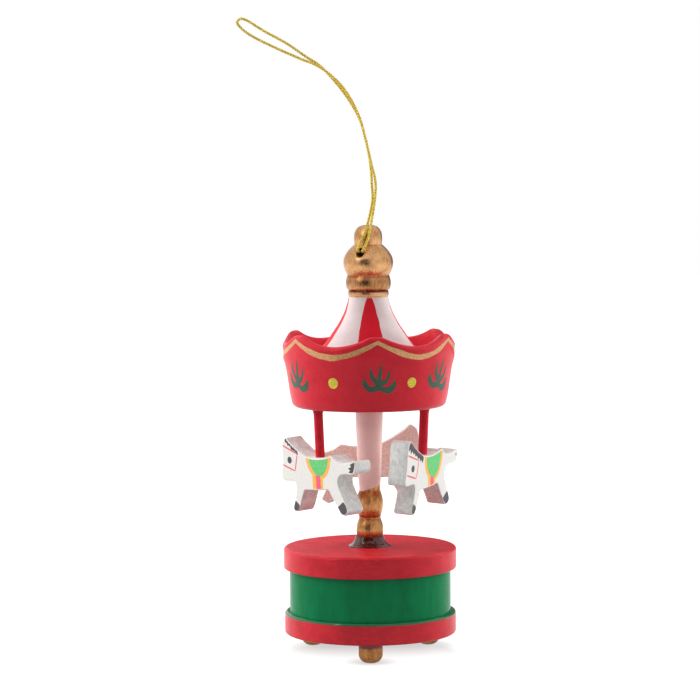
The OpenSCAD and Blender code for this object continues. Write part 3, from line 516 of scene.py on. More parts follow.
def twistedThreadTree(plies):
    # that many strands wound round a path; "along" is the distance from its start
    tree, add, given = geometryTree("twistedThread", {
        "Float": ["Ply Radius", "Helix Radius", "Pitch", "Step"], "Int": ["Sides"]})
    line = add("GeometryNodeMeshToCurve", {"Mesh": given["Geometry"]})[0]
    fine = add("GeometryNodeResampleCurve", {"Curve": line, "Length": given["Step"]}, mode="LENGTH")[0]
    along = add("GeometryNodeSplineParameter")["Length"]
    marked = add("GeometryNodeStoreNamedAttribute", {"Geometry": fine, "Name": "along", "Value": along},
                 data_type="FLOAT", domain="POINT")[0]
    normal = add("GeometryNodeInputNormal")[0]
    tangent = add("GeometryNodeInputTangent")[0]
    across = add("VectorMath CROSS_PRODUCT", [tangent, normal])[0]
    share = add("Math DIVIDE", [along, given["Pitch"]])[0]
    ring = add("GeometryNodeCurvePrimitiveCircle", {
        "Resolution": given["Sides"], "Radius": given["Ply Radius"]})[0]
    bundle = tree.nodes.new("GeometryNodeJoinGeometry")
    for k in range(plies):
        part = add("Math ADD", [share, k / plies])[0]
        angle = add("Math MULTIPLY", [part, 2 * math.pi])[0]
        cosine = add("Math COSINE", [angle])[0]
        sine = add("Math SINE", [angle])[0]
        one = add("VectorMath SCALE", {0: normal, "Scale": cosine})[0]
        two = add("VectorMath SCALE", {0: across, "Scale": sine})[0]
        both = add("VectorMath ADD", [one, two])[0]
        offset = add("VectorMath SCALE", {0: both, "Scale": given["Helix Radius"]})[0]
        strand = add("GeometryNodeSetPosition", {"Geometry": marked, "Offset": offset})[0]
        tube = add("GeometryNodeCurveToMesh", {
            "Curve": strand, "Profile Curve": ring, "Fill Caps": True})[0]
        tree.links.new(tube, bundle.inputs[0])
    closeTree(add, given, bundle.outputs[0])
    return tree


threadTree = twistedThreadTree(cordValues["plies"])


def twistThread(name, path, v):
    mesh = grow(name, addLine(name + "Path", path), threadTree, {
        "Ply Radius": v["ply"] * mm, "Helix Radius": v["helix"] * mm, "Pitch": v["pitch"] * mm,
        "Step": v["step"] * mm, "Sides": v["sides"], "Material": goldThread})
    return finishMesh(mesh, 60)


def makeKnot(v, k):
    # overhand knot drawn up tight behind the finial
    path = []
    centre = Vector(inBore(k["middle"], 0, v))
    turn = math.radians(v["holeAngle"])
    out = Vector((math.cos(turn), math.sin(turn), 0))
    side = Vector((-math.sin(turn), math.cos(turn), 0))
    up = Vector((0, 0, 1))
    for i in range(k["points"] + 1):
        t = 2 * math.pi * i / k["points"]
        x = math.sin(t) + 2 * math.sin(2 * t)
        y = math.cos(t) - 2 * math.cos(2 * t)
        path.append((centre + k["wide"] * (x * side + y * up) - k["deep"] * math.sin(3 * t) * out) * mm)
    return place("cordKnot", twistThread("cordKnot", path, v), "gold_cord", "cord_knot")


def makeCord(v, knot):
    path = cordPath(v)
    cord = place("hangingCord", twistThread("hangingCord", path, v), "gold_cord", "hanging_cord")


makeCord(cordValues, makeKnot(cordValues, knotValues))


# turned pieces

def turnedTree():
    # lathe: spins a profile about Z; scoops lower the upper part between evenly spaced peaks
    tree, add, given = geometryTree("turnedPiece", {
        "Int": ["Segments", "Scoops"],
        "Float": ["First Scoop", "Scoop Depth", "Scoop Half Width", "Scoop From", "Scoop Full"]})
    count = add("GeometryNodeAttributeDomainSize", {"Geometry": given["Geometry"]})[0]
    columns = add("Math ADD", [given["Segments"], 1.0])[0]
    grid = add("GeometryNodeMeshGrid", {"Vertices X": count, "Vertices Y": columns})[0]
    index = add("GeometryNodeInputIndex")[0]
    share = add("Math DIVIDE", [index, columns])[0]
    row = add("Math FLOOR", [share])[0]
    column = add("Math MODULO", [index, columns])[0]
    position = add("GeometryNodeInputPosition")[0]
    sample = add("GeometryNodeSampleIndex", {
        "Geometry": given["Geometry"], "Value": position, "Index": row}, data_type="FLOAT_VECTOR")[0]
    axes = add("SeparateXYZ", [sample])
    radius, height = axes[0], axes[2]
    turnShare = add("Math DIVIDE", [column, given["Segments"]])[0]
    angle = add("Math MULTIPLY", [turnShare, 2 * math.pi])[0]
    cosine = add("Math COSINE", [angle])[0]
    sine = add("Math SINE", [angle])[0]
    x = add("Math MULTIPLY", [radius, cosine])[0]
    y = add("Math MULTIPLY", [radius, sine])[0]
    pitch = add("Math DIVIDE", [2 * math.pi, given["Scoops"]])[0]
    halfPitch = add("Math MULTIPLY", [pitch, 0.5])[0]
    fromFirst = add("Math SUBTRACT", [angle, given["First Scoop"]])[0]
    shifted = add("Math ADD", [fromFirst, halfPitch])[0]
    wrapped = add("Math WRAP", [shifted, pitch, 0.0])[0]
    off = add("Math SUBTRACT", [wrapped, halfPitch])[0]
    offSine = add("Math SINE", [off])[0]
    lateral = add("Math MULTIPLY", [offSine, radius])[0]
    ratio = add("Math DIVIDE", [lateral, given["Scoop Half Width"]])[0]
    square = add("Math MULTIPLY", [ratio, ratio])[0]
    bowl = add("Math SUBTRACT", [1.0, square])[0]
    soft = add("Math SMOOTH_MAX", [bowl, 0.0, 0.22])[0]
    weight = add("MapRange", [height, given["Scoop From"], given["Scoop Full"], 0.0, 1.0],
                 interpolation_type="SMOOTHSTEP")[0]
    deep = add("Math MULTIPLY", [soft, given["Scoop Depth"]])[0]
    drop = add("Math MULTIPLY", [deep, weight])[0]
    z = add("Math SUBTRACT", [height, drop])[0]
    spot = add("CombineXYZ", [x, y, z])[0]
    spun = add("GeometryNodeSetPosition", {"Geometry": grid, "Position": spot})[0]
    closed = add("GeometryNodeMergeByDistance", {"Geometry": spun, "Distance": weld})[0]
    closeTree(add, given, closed)
    return tree


latheTree = turnedTree()
noScoops = {"scoops": 6, "firstScoop": 5, "depth": 0.0, "halfWidth": 12.5, "from": 0.0, "full": 1.0}


def turned(name, runs, material, segments=128, crease=35, scoop=noScoops):
    # runs: smooth stretches of (radius, height) in mm, each from a crease at the end of the last
    profile, corner = [], []
    for run in runs:
        spots = corner + [Vector((r, 0, z)) for r, z in run]
        corner = spots[-1:]
        for p in smoothRun(spots, 4) if len(spots) > 2 else spots:
            p = Vector((max(p.x, 0.0), 0, p.z)) * mm
            if not profile or (p - profile[-1]).length > 2 * weld:
                profile.append(p)
    mesh = grow(name, addLine(name + "Profile", profile), latheTree, {
        "Segments": segments, "Scoops": scoop["scoops"], "First Scoop": math.radians(scoop["firstScoop"]),
        "Scoop Depth": scoop["depth"] * mm, "Scoop Half Width": scoop["halfWidth"] * mm,
        "Scoop From": scoop["from"] * mm, "Scoop Full": scoop["full"] * mm, "Material": material})
    return finishMesh(mesh, crease)


def arcRun(centre, radius, first, last, steps=6):
    angles = [math.radians(first + (last - first) * i / steps) for i in range(steps + 1)]
    return [(centre[0] + radius * math.cos(a), centre[1] + radius * math.sin(a)) for a in angles]


postRuns = [[(0, 32.6), (2.7, 32.6)], [(2.7, 36.7)], [(4.3, 36.7)],
            [(4.35, 39.7), (4.6, 41.1), (4.7, 42.5), (4.5, 44.2), (4.05, 45.6), (3.75, 46.4)],
            [(3.75, 46.9)],
            [(4.1, 48.1), (4.5, 49.8), (4.65, 51.8), (4.4, 53.8), (3.85, 55.6), (3.7, 56.2)],
            [(3.7, 57.8), (4, 61.3), (4.3, 69), (4.6, 77.7), (4.8, 85.5)], [(3.5, 85.5)],
            [(3.5, 90.9)], [(0, 90.9)]]
roofRuns = [[(0, 97.7), (5, 97.7)], [(5, 101.62)], [(22, 101.62)], [(22, 102.5)],
            [(20.4, 103.2), (18.1, 104.7), (15.9, 106.6), (13.9, 109), (12.5, 111.1), (11.4, 112.7),
             (10.4, 114.2), (9.65, 115.6), (8.9, 117), (8.3, 118.3), (7.6, 120.4), (7.1, 122),
             (6.8, 123.5)], [(3, 123.5)], [(3, 127.5)], [(0, 127.5)]]
finialRuns = [[(0, 127.6), (3.02, 127.6)], [(3.02, 123.52)], [(6.8, 123.52)],
              [(6.95, 124.1), (7, 124.8), (6.95, 125.3)], [(6.7, 125.65)],
              [(7.25, 125.95), (7.6, 126.8), (7.75, 127.9), (7.72, 129), (7.45, 130.1), (7.2, 130.8)],
              [(7.35, 131.2), (7.9, 132.3), (8.35, 133.6), (8.57, 135), (8.5, 136.3), (8.15, 137.4),
               (7.6, 138.4), (6.9, 139.4), (6, 140.4), (5.1, 141.2), (4.7, 141.5)],
              [(4.75, 142), (4.85, 143), (4.86, 144.2), (4.7, 145.4), (4.25, 146.4), (3.6, 147.3),
               (2.6, 147.9), (1.3, 148.15), (0, 148.2)]]
crownRuns = [[(0, 85.5), (24.6, 85.5)], arcRun((24.6, 87.7), 2.2, -90, -10)[1:],
             [(27.4, 90.4), (28.1, 95.5), (28.9, 100), (29.5, 104), (29.66, 106), (29.6, 108),
              (29.7, 109.2)], arcRun((28.4, 109.8), 1.4, 0, 100), [(26.9, 110.8)],
             [(26.75, 109), (26.6, 106), (25.9, 104)],
             arcRun((23.5, 104), 2.4, 0, -90)[1:], [(0, 101.6)]]
crownScoops = {"scoops": 6, "firstScoop": 5, "depth": 3.4, "halfWidth": 12.5, "from": 99.0, "full": 107.5}


def bored(name, mesh, v, radius=1.4, reach=15):
    # the finial with the cord hole drilled through, its mouths eased
    cutterRuns = [[(0, -reach), (2, -reach)], [(2, -8.2)], [(1.6, -7.4), (radius, -6.6)], [(radius, 6.6)],
                  [(1.6, 7.4), (2, 8.2)], [(2, reach)], [(0, reach)]]
    cutter = addObject("cutter", turned("cutter", cutterRuns, finialBronze, 32))
    cutter.data.transform(Matrix.Translation(Vector((0, 0, v["holeZ"])) * mm)
                          @ Matrix.Rotation(math.radians(v["holeAngle"]), 4, "Z")
                          @ Matrix.Rotation(math.pi / 2, 4, "Y"))
    source = addObject(name, mesh)
    drill = source.modifiers.new("drill", "BOOLEAN")
    drill.object, drill.operation, drill.solver = cutter, "DIFFERENCE", "EXACT"
    graph = bpy.context.evaluated_depsgraph_get()
    result = bpy.data.meshes.new_from_object(source.evaluated_get(graph), depsgraph=graph)
    bpy.data.objects.remove(source)
    bpy.data.objects.remove(cutter)
    return finishMesh(result, 35)


place("postTurned", turned("postTurned", postRuns, postPaint), "white_paint_wood", "post")
place("tentRoof", turned("tentRoof", roofRuns, roofLacquer), "white_paint_wood", "tent_roof")
crown = place("scallopedCrown", turned("scallopedCrown", crownRuns, crownLacquer, 240, 40, crownScoops),
              "red_lacquer_wood", "canopy")
solidFinial = turned("finialTurned", finialRuns, finialBronze)
place("finialTurned", bored("finialTurned", solidFinial, cordValues), "gold_paint_wood", "finial")
print("stage: turned pieces")


# glue at the foot of the post

glueRuns = [[(4, 36.62), (7.4, 36.62)],
            [(7.4, 36.74), (7.2, 36.95), (6.5, 37.2), (5.9, 37.7), (5.3, 38.6), (4.95, 39.5),
             (4.75, 40.2), (4.48, 40.2)], [(4.2, 39.9)], [(4, 36.62)]]


glueValues = {"rough": 0.55, "lumps": 3.4, "bare": 4.5, "fade": 0.6}


def makeGlue(v):
    # pushed in and out by noise, except beside the post
    mesh = turned("glueRun", glueRuns, glueClear, 96, 60)
    for vertex in mesh.vertices:
        p = vertex.co / mm
        r = math.hypot(p.x, p.y)
        outer = max(0.0, min(1.0, (r - v["bare"]) / v["fade"]))
        lump = noise.noise(Vector((p.x, p.y, p.z * 0.7)) / v["lumps"] + Vector((3, 1, 5)))
        push = lump * v["rough"] * outer
        vertex.co.x, vertex.co.y = p.x * (1 + push / r) * mm, p.y * (1 + push / r) * mm
    place("glueRun", mesh, "clear_glue", "glue_fillet")


makeGlue(glueValues)
print("stage: glue")


# painted ornaments on the crown, wrapped onto its wall

def paintRoundTree():
    # sets a flat motif at each spot of the unrolled wall, then drops it onto the crown
    tree, add, given = geometryTree("paintRound", {
        "Object": ["Spots", "Crown"], "Float": ["Wall Radius", "Lift", "Tilt", "Uneven"], "Int": ["Seed"]})
    spots = add("GeometryNodeObjectInfo", {"Object": given["Spots"]})["Geometry"]
    wall = add("GeometryNodeObjectInfo", {"Object": given["Crown"]})["Geometry"]
    least = add("Math MULTIPLY", [given["Tilt"], -1.0])[0]
    tilt = add("FunctionNodeRandomValue", {2: least, 3: given["Tilt"], "Seed": given["Seed"]},
               data_type="FLOAT")[1]
    leaning = add("CombineXYZ", {1: tilt})[0]
    small = add("Math SUBTRACT", [1.0, given["Uneven"]])[0]
    large = add("Math ADD", [1.0, given["Uneven"]])[0]
    size = add("FunctionNodeRandomValue", {2: small, 3: large, "Seed": given["Seed"]},
               data_type="FLOAT")[1]
    copies = add("GeometryNodeInstanceOnPoints", {
        "Points": spots, "Instance": given["Geometry"], "Rotation": leaning, "Scale": size})[0]
    flat = add("GeometryNodeRealizeInstances", {"Geometry": copies})[0]
    axes = add("SeparateXYZ", [add("GeometryNodeInputPosition")[0]])
    around = add("Math DIVIDE", [axes[0], given["Wall Radius"]])[0]
    angle = add("Math ADD", [around, -math.pi / 2])[0]
    cosine = add("Math COSINE", [angle])[0]
    sine = add("Math SINE", [angle])[0]
    outward = add("CombineXYZ", [cosine, sine])[0]
    far = add("VectorMath SCALE", {0: outward, "Scale": 60 * mm})[0]
    level = add("CombineXYZ", {2: axes[2]})[0]
    start = add("VectorMath ADD", [far, level])[0]
    inward = add("VectorMath SCALE", {0: outward, "Scale": -1.0})[0]
    ray = add("GeometryNodeRaycast", {
        "Target Geometry": wall, "Source Position": start, "Ray Direction": inward, "Ray Length": 1.0})
    rise = add("VectorMath SCALE", {0: ray["Hit Normal"], "Scale": given["Lift"]})[0]
    spot = add("VectorMath ADD", [ray["Hit Position"], rise])[0]
    wrapped = add("GeometryNodeSetPosition", {"Geometry": flat, "Position": spot})[0]
    closeTree(add, given, wrapped)
    return tree


wrapTree = paintRoundTree()


def cornerCut(points, passes=2):
    # softens an outline given as points; a point given twice stays nearly sharp
    for _ in range(passes):
        out = []
        for i, p in enumerate(points):
            q = points[(i + 1) % len(points)]
            out.append((p[0] * 0.75 + q[0] * 0.25, p[1] * 0.75 + q[1] * 0.25))
            out.append((p[0] * 0.25 + q[0] * 0.75, p[1] * 0.25 + q[1] * 0.75))
        points = out
    return points


def fillShape(outline, spacing):
    # fine triangles inside an outline, so that it can bend with the wall; returns points and faces in mm
    points = []
    for i, p in enumerate(outline):
        q = outline[(i + 1) % len(outline)]
        length = math.hypot(q[0] - p[0], q[1] - p[1])
        if length < 0.01:
            continue
        cuts = max(1, math.ceil(length / spacing))
        points += [Vector((p[0] + (q[0] - p[0]) * k / cuts, p[1] + (q[1] - p[1]) * k / cuts))
                   for k in range(cuts)]
    rim = len(points)
    edges = [(i, (i + 1) % rim) for i in range(rim)]
    xs, ys = [p.x for p in points], [p.y for p in points]
    for i in range(int((max(xs) - min(xs)) / spacing)):
        for j in range(int((max(ys) - min(ys)) / spacing)):
            points.append(Vector((min(xs) + (i + 0.5) * spacing, min(ys) + (j + 0.5) * spacing)))
    found, _, faces = geometry.delaunay_2d_cdt(points, edges, [], 1, 0.0001)[:3]
    used = sorted({i for face in faces for i in face})
    order = {old: new for new, old in enumerate(used)}
    return [found[i] for i in used], [[order[i] for i in face] for face in faces]


def paintOnCrown(name, flat, spots, material, v):
    # flat: points and faces in mm; spots: angle and height of each copy
    points = [(x * mm, 0, z * mm) for x, z in flat[0]]
    motif = addObject(name + "Motif", meshFrom(name + "Motif", points, flat[1]))
    unrolled = [(math.radians(a) * v["wall"] * mm, 0, z * mm) for a, z in spots]
    spotObject = addObject(name + "Spots", meshFrom(name + "Spots", unrolled))
    mesh = grow(name, motif, wrapTree, {
        "Spots": spotObject, "Crown": crown, "Wall Radius": v["wall"] * mm, "Lift": v["lift"] * mm,
        "Tilt": math.radians(v["tilt"]), "Uneven": v["uneven"], "Seed": v["seed"], "Material": material})
    bpy.data.objects.remove(spotObject)
    bm = bmesh.new()
    bm.from_mesh(mesh)
    bmesh.ops.remove_doubles(bm, verts=bm.verts, dist=weld)
    facing = sum((f.normal.x * f.calc_center_median().x + f.normal.y * f.calc_center_median().y)
                 for f in bm.faces)
    if facing < 0:
        bmesh.ops.reverse_faces(bm, faces=bm.faces)
    bmesh.ops.solidify(bm, geom=bm.faces, thickness=v["coat"] * mm)
    bm.to_mesh(mesh)
    bm.free()
    place(name, finishMesh(mesh, 50), "red_lacquer_wood")


# angles are degrees round from the front, positive to the right; sizes in mm
ornaments = {"wall": 28.8, "lift": 0.035, "coat": 0.07, "tilt": 5, "uneven": 0.05, "seed": 4,
             "tuftAngles": [-60.5, 7, 56.5, 119, 182, 243], "tuftZ": 91.8, "tuftSize": 1.08,
             "dotAngles": [-25.5, 31, 91, 152, 212, 271], "dotZ": 95.5, "dotSize": 3.6,
             "cuspAngles": [-57, 6, 66, 125, 185, 245], "cuspZ": 109.4, "lowZ": 104.2,
             "lineWidth": 1.75, "lineColumns": 360}
tuftOutline = [(1.07, 10.3), (1.07, 10.3), (1.47, 8.76), (1.3, 6.75), (0.94, 4.9), (1.87, 4.4),
               (2.88, 5.5), (3.28, 6.75), (3.88, 7.9), (3.88, 7.9), (4.18, 6.3), (3.68, 4.7), (2.68, 3.3),
               (1.3, 2.6), (1.3, 2.3), (2.68, 2.06), (4.08, 2.66), (5.12, 3.9), (5.69, 4.4), (5.69, 4.4),
               (6.09, 3.3), (5.82, 1.66), (4.68, 0.45), (3.08, -0.05), (1.87, 0.35), (0.84, 1.05),
               (0, 1.36), (-1.37, 0.95), (-3.1, 0.85), (-4.38, 1.9), (-5.3, 3.06), (-5.45, 4.3),
               (-4.7, 5.7), (-4.7, 5.7), (-4.1, 4.9), (-3.7, 3.9), (-2.9, 2.9), (-1.6, 2.75), (-0.9, 3.0),
               (-2.17, 4.7), (-2.8, 6.1), (-2.8, 7.35), (-2.07, 8.9), (-2.07, 8.9), (-1.67, 7.75),
               (-1.67, 6.75), (-1, 5.5), (-0.17, 4.7), (0, 6.75), (0.64, 8.76)]


def goldLine(v):
    # a brushed line that hangs in swags between cusps under the peaks
    cusps = sorted(v["cuspAngles"])
    points, faces = [], []
    columns = v["lineColumns"]
    for i in range(columns + 1):
        degrees = cusps[0] + 360 * i / columns
        k = max(j for j in range(len(cusps)) if cusps[j] <= degrees + 0.001)
        nextCusp = cusps[k + 1] if k + 1 < len(cusps) else cusps[0] + 360
        t = (degrees - cusps[k]) / (nextCusp - cusps[k])
        sag = 1 - abs(2 * t - 1) ** 1.7
        spot = Vector((math.cos(math.radians(degrees)), math.sin(math.radians(degrees)), 0))
        shake = noise.noise(spot * 9) * 0.14 + noise.noise(spot * 2.5 + Vector((4, 0, 0))) * 0.3
        wide = v["lineWidth"] * (0.86 + 0.2 * sag + 0.35 * noise.noise(spot * 6 + Vector((0, 7, 0))))
        z = v["cuspZ"] - (v["cuspZ"] - v["lowZ"]) * sag + shake * sag
        x = math.radians(degrees) * v["wall"]
        for share in (-0.5, -0.25, 0, 0.25, 0.5):
            points.append((x, z + share * wide))
    for i in range(columns):
        for k in range(4):
            a = i * 5 + k
            faces.append((a, a + 5, a + 6, a + 1))
    return points, faces


def paintCrown(v):
    outline = cornerCut([(x * v["tuftSize"], z * v["tuftSize"]) for x, z in tuftOutline])
    ring = [(v["dotSize"] / 2 * math.cos(math.radians(a)) * (1 + 0.03 * math.sin(math.radians(3 * a))),
             v["dotSize"] / 2 * math.sin(math.radians(a))) for a in range(0, 360, 10)]
    tufts, dots = ([(a, v[key + "Z"]) for a in v[key + "Angles"]] for key in ("tuft", "dot"))
    paintOnCrown("leafTufts", fillShape(outline, 0.45), tufts, leafGreen, v)
    paintOnCrown("yellowDots", fillShape(ring, 0.5), dots, dotYellow, v)
    paintOnCrown("goldSwagLine", goldLine(v), [(0, 0)], crownGold, dict(v, tilt=0, uneven=0))


paintCrown(ornaments)
print("stage: crown ornaments")


# horses

herd = {"left": {"pole": -148.5, "yaw": 6.4, "slide": -0.6, "pitch": -1, "lift": -0.45},
        "right": {"pole": -22.6, "yaw": -3.5, "slide": 1.2, "pitch": 0, "lift": 0},
        "rear": {"pole": 94.5, "yaw": 0, "slide": 1, "pitch": 4, "lift": 0.1}}
horseValues = {"thickness": 6.7, "seatZ": 69.3, "circle": 20.2, "circleZ": 77.5, "tilt": 2.7,
               "edgeRound": 0.35, "ink": 0.02, "margin": 0.46,
               "printShift": {"left": (0, 0), "right": (-0.6, -1.8), "rear": (0.2, -0.8)}}
# outline about the pole: x to the nose, y up from the saddle's dip
horseOutline = [(4.7, 0.5), (9.1, 2.4), (13.7, 5), (15.3, 6.4), (16.4, 6.3), (17.6, 5), (18, 3.7),
                (18.3, -3.5), (19.2, -6.5), (19, -8.3), (18.2, -8.9), (11.9, -8.6), (11, -10.4),
                (11.5, -13), (12.6, -16.2), (13.5, -18), (12.8, -19.3), (10.8, -19.1), (9.3, -17),
                (6.5, -11.3), (-1.5, -10.9), (-7.3, -10.2), (-10.1, -14), (-11.9, -15.9), (-13.6, -18.3),
                (-15.8, -18.8), (-18.1, -17.1), (-16.5, -14.2), (-14.3, -11), (-12.8, -8.3),
                (-12.9, -6.3), (-14.1, -5), (-16.6, -4.4), (-21.8, -4.3), (-22.9, -3.3), (-23.2, -2.4),
                (-23.2, -0.3), (-22.4, 0.3), (-18.6, -0.4), (-15.6, -0.8), (-12.6, -0.1), (-10.8, 1),
                (-9.7, 1.5), (-6.2, 0.6), (-2.4, 0.1), (1.2, 0.05)]
seatLine = [(-12.6, -0.1), (-10.8, 1), (-9.7, 1.5), (-6.2, 0.6), (-2.4, 0.1), (1.2, 0.05), (4.7, 0.5),
            (9.1, 2.4)]
bellyLine = [(-14, -10), (-7.3, -10.2), (-1.5, -10.9), (6.5, -11.3), (12, -11.3)]


def heightOn(line, x):
    for (x0, y0), (x1, y1) in zip(line, line[1:]):
        if x <= x1:
            return y0 + (y1 - y0) * max(0.0, x - x0) / (x1 - x0)
    return line[-1][1]


def keptInside(points, margin):
    # a print that ran over the back or belly is cut a little inside the edge
    cut = []
    for i, p in enumerate(points):
        steps = max(1, math.ceil((p - points[i - 1]).length / 0.4))
        cut += [points[i - 1].lerp(p, (step + 1) / steps) for step in range(steps)]
    out = []
    for p in cut:
        high, low = heightOn(seatLine, p.x) - margin, heightOn(bellyLine, p.x) + margin
        out.append(Vector((p.x, max(low, min(high, p.y)))))
    out = [p for i, p in enumerate(out) if (p - out[i - 1]).length > 0.001]
    i = 0
    while i < len(out):     # the outline never doubles back along the cut
        before, after = out[i] - out[i - 1], out[(i + 1) % len(out)] - out[i]
        doubled = before.dot(after) < -0.5 * before.length * after.length
        if doubled:
            out.pop(i)
        i = max(0, i - 2) if doubled else i + 1
    return out


def roundedOutline(points, radius=0.8, steps=4):
    # each corner becomes a short curve that starts a little way along its two sides
    out = []
    n = len(points)
    for i in range(n):
        a, b, c = Vector(points[i - 1]), Vector(points[i]), Vector(points[(i + 1) % n])
        first = min(radius, (a - b).length * 0.45)
        second = min(radius, (c - b).length * 0.45)
        p, q = b + (a - b).normalized() * first, b + (c - b).normalized() * second
        for s in range(steps + 1):
            t = s / steps
            out.append(p * (1 - t) ** 2 + b * 2 * t * (1 - t) + q * t ** 2)
    return out


def outwardOf(points):
    # unit normals of a closed outline, pointing out of it
    n = len(points)
    area = sum(points[i - 1].x * points[i].y - points[i].x * points[i - 1].y for i in range(n))
    sign = 1 if area > 0 else -1
    normals = []
    for i in range(n):
        along = (points[(i + 1) % n] - points[i - 1]).normalized()
        normals.append(Vector((along.y, -along.x)) * sign)
    return normals


def addSlab(bm, outline, z0, z1, slotIndex, edgeSlot=None, edgeRound=0.0):
    # closed slab between two heights, with rounded edges if asked
    normals = outwardOf(outline)
    step = 1 if z1 > z0 else -1
    rings = [(0, z0), (0, z1)]
    if edgeRound:
        e = edgeRound
        rings = [(e + 0.08, z0), (e, z0), (0.3 * e, z0 + step * 0.3 * e), (0, z0 + step * e),
                 (0, z1 - step * e), (0.3 * e, z1 - step * 0.3 * e), (e, z1), (e + 0.08, z1)]
    layers = []
    for inset, z in rings:
        layers.append([bm.verts.new(((p.x - q.x * inset) * mm, (p.y - q.y * inset) * mm, z * mm))
                       for p, q in zip(outline, normals)])
    n = len(outline)
    for k in range(len(layers) - 1):
        for i in range(n):
            j = (i + 1) % n
            face = bm.faces.new((layers[k][i], layers[k][j], layers[k + 1][j], layers[k + 1][i]))
            middle = edgeRound and k == 3
            face.material_index = edgeSlot if middle else slotIndex
    for layer in (layers[0], layers[-1]):
        bm.faces.new(layer).material_index = slotIndex


def strokeOutline(points, width):
    # closed outline of a brush stroke along points, thinning at its ends
    line = [Vector(p[:2]) for p in smoothRun([(x, y, 0) for x, y in points], 5)]
    left, right = [], []
    last = len(line) - 1
    for i, p in enumerate(line):
        along = (line[min(i + 1, last)] - line[max(i - 1, 0)]).normalized()
        side = Vector((-along.y, along.x))
        half = width / 2 * (1 if 0 < i < last else 0.45)
        left.append(p + side * half)
        right.append(p - side * half)
    return left + right[::-1]


def ellipse(centre, wide, high, steps=24):
    angles = [2 * math.pi * i / steps for i in range(steps)]
    return [Vector((centre[0] + wide / 2 * math.cos(a), centre[1] + high / 2 * math.sin(a)))
            for a in angles]


def softened(points, passes=2):
    return [Vector(p) for p in cornerCut(points, passes)]


def horsePrints(which, v):
    # ink, layer, outline: every printed and brushed mark of the outer face
    dx, dy = v["printShift"][which]
    marks = [("grey", 1, ellipse((14.0 + dx, -1.4 + dy), 2.5, 2.4))]
    rein = [(18.0, 3.6 + dy), (9.4 + dx, 1.0 + dy), (11.1 + dx, -5.0 + dy), (18.25, -3.2 + dy)]
    marks += [("rein", 1, strokeOutline([a, b], 0.5)) for a, b in zip(rein, rein[1:])]
    saddle = [("amber", 1, [(4.75, 4), (4.75, 4), (4.6, 0), (3.9, -2.6), (2.4, -4.7), (0.8, -6.1),
                            (-1.8, -7.2), (-4.9, -6.9), (-7.2, -5.4), (-8.8, -2.7), (-9.8, 0.5),
                            (-10.6, 4), (-10.6, 4)]),
              ("green", 3, [(3.2, 4), (3.2, 4), (2.9, 0), (2.2, -2.3), (0.6, -4.5), (-1.6, -5.9),
                            (-4.2, -5.8), (-6.2, -4.3), (-7.5, -1.9), (-8.2, 0.6), (-8.9, 4), (-8.9, 4)]),
              ("amber", 0.5, [(1.25, -4.8), (1.25, -4.8), (1.25, -13), (1.25, -13), (-4.7, -13),
                              (-4.7, -13), (-4.6, -6.5), (-4.6, -6.5)]),
              ("pink", 2, [(-0.75, -5.3), (-0.75, -5.3), (-0.75, -13), (-0.75, -13), (-3.2, -13),
                           (-3.2, -13), (-3.2, -5.5), (-3.2, -5.5)])]
    for ink, layer, points in saddle:
        moved = softened([(x + dx, y + dy) for x, y in points])
        marks.append((ink, layer, keptInside(moved, v["margin"] + 0.01 * layer)))
    hoofs = [[(9.7, -16.8), (9.7, -16.8), (11.9, -15.2), (12.4, -16.3), (13.15, -18), (12.6, -18.95),
              (10.95, -18.8), (10, -17.8)],
             [(-15.3, -13.9), (-15.3, -13.9), (-12.2, -15.95), (-12.2, -15.95), (-13.8, -17.95),
              (-15.75, -18.45), (-17.65, -17), (-16.3, -14.5)]]
    marks += [("hoof", 1, softened(hoof)) for hoof in hoofs]
    if which == "right":
        mane = [(5.0, 0.15), (6.9, 1.05), (9.1, 1.95), (11.5, 3.3), (13.7, 4.6), (15.3, 6.0), (16.3, 5.9),
                (17.2, 4.5), (17.3, 2.6), (16.2, 4.1), (15.4, 1.7), (14.4, 3.1), (13.4, 1.5), (12.6, 2.3),
                (11.7, 0.6), (10.7, 1.3), (9.7, -0.4), (8.6, 0.3), (7.8, -1.4), (6.9, -0.5), (6.2, -2.1),
                (5.3, -1.2)]
        marks.append(("grey", 1, softened(mane, 1)))
        marks.append(("grey", 1, ellipse((-21.9, -1.6), 0.8, 1.0)))
    else:
        for k in range(7):
            # the strokes of the mane start along the neck, and vary in length and width
            x, y = 15.9 - 1.02 * k, 5.85 - 0.6 * k - 0.03 * k * (6 - k)
            drop = 1.25 + 0.3 * math.sin(2.4 * k)
            wide = 0.86 + 0.12 * math.cos(1.7 * k)
            marks.append(("grey", 1, strokeOutline([(x, y), (x - 0.55, y - drop)], wide)))
        tail = [(-22.85, 0), (-21.5, -0.35), (-20.1, -1.0), (-21.3, -1.5), (-18.9, -2.3), (-20.7, -2.75),
                (-19, -3.55), (-21.1, -3.85), (-22, -3.3), (-22.5, -2.2), (-22.85, -0.8)]
        marks.append(("grey", 1, softened(tail, 1)))
    return marks


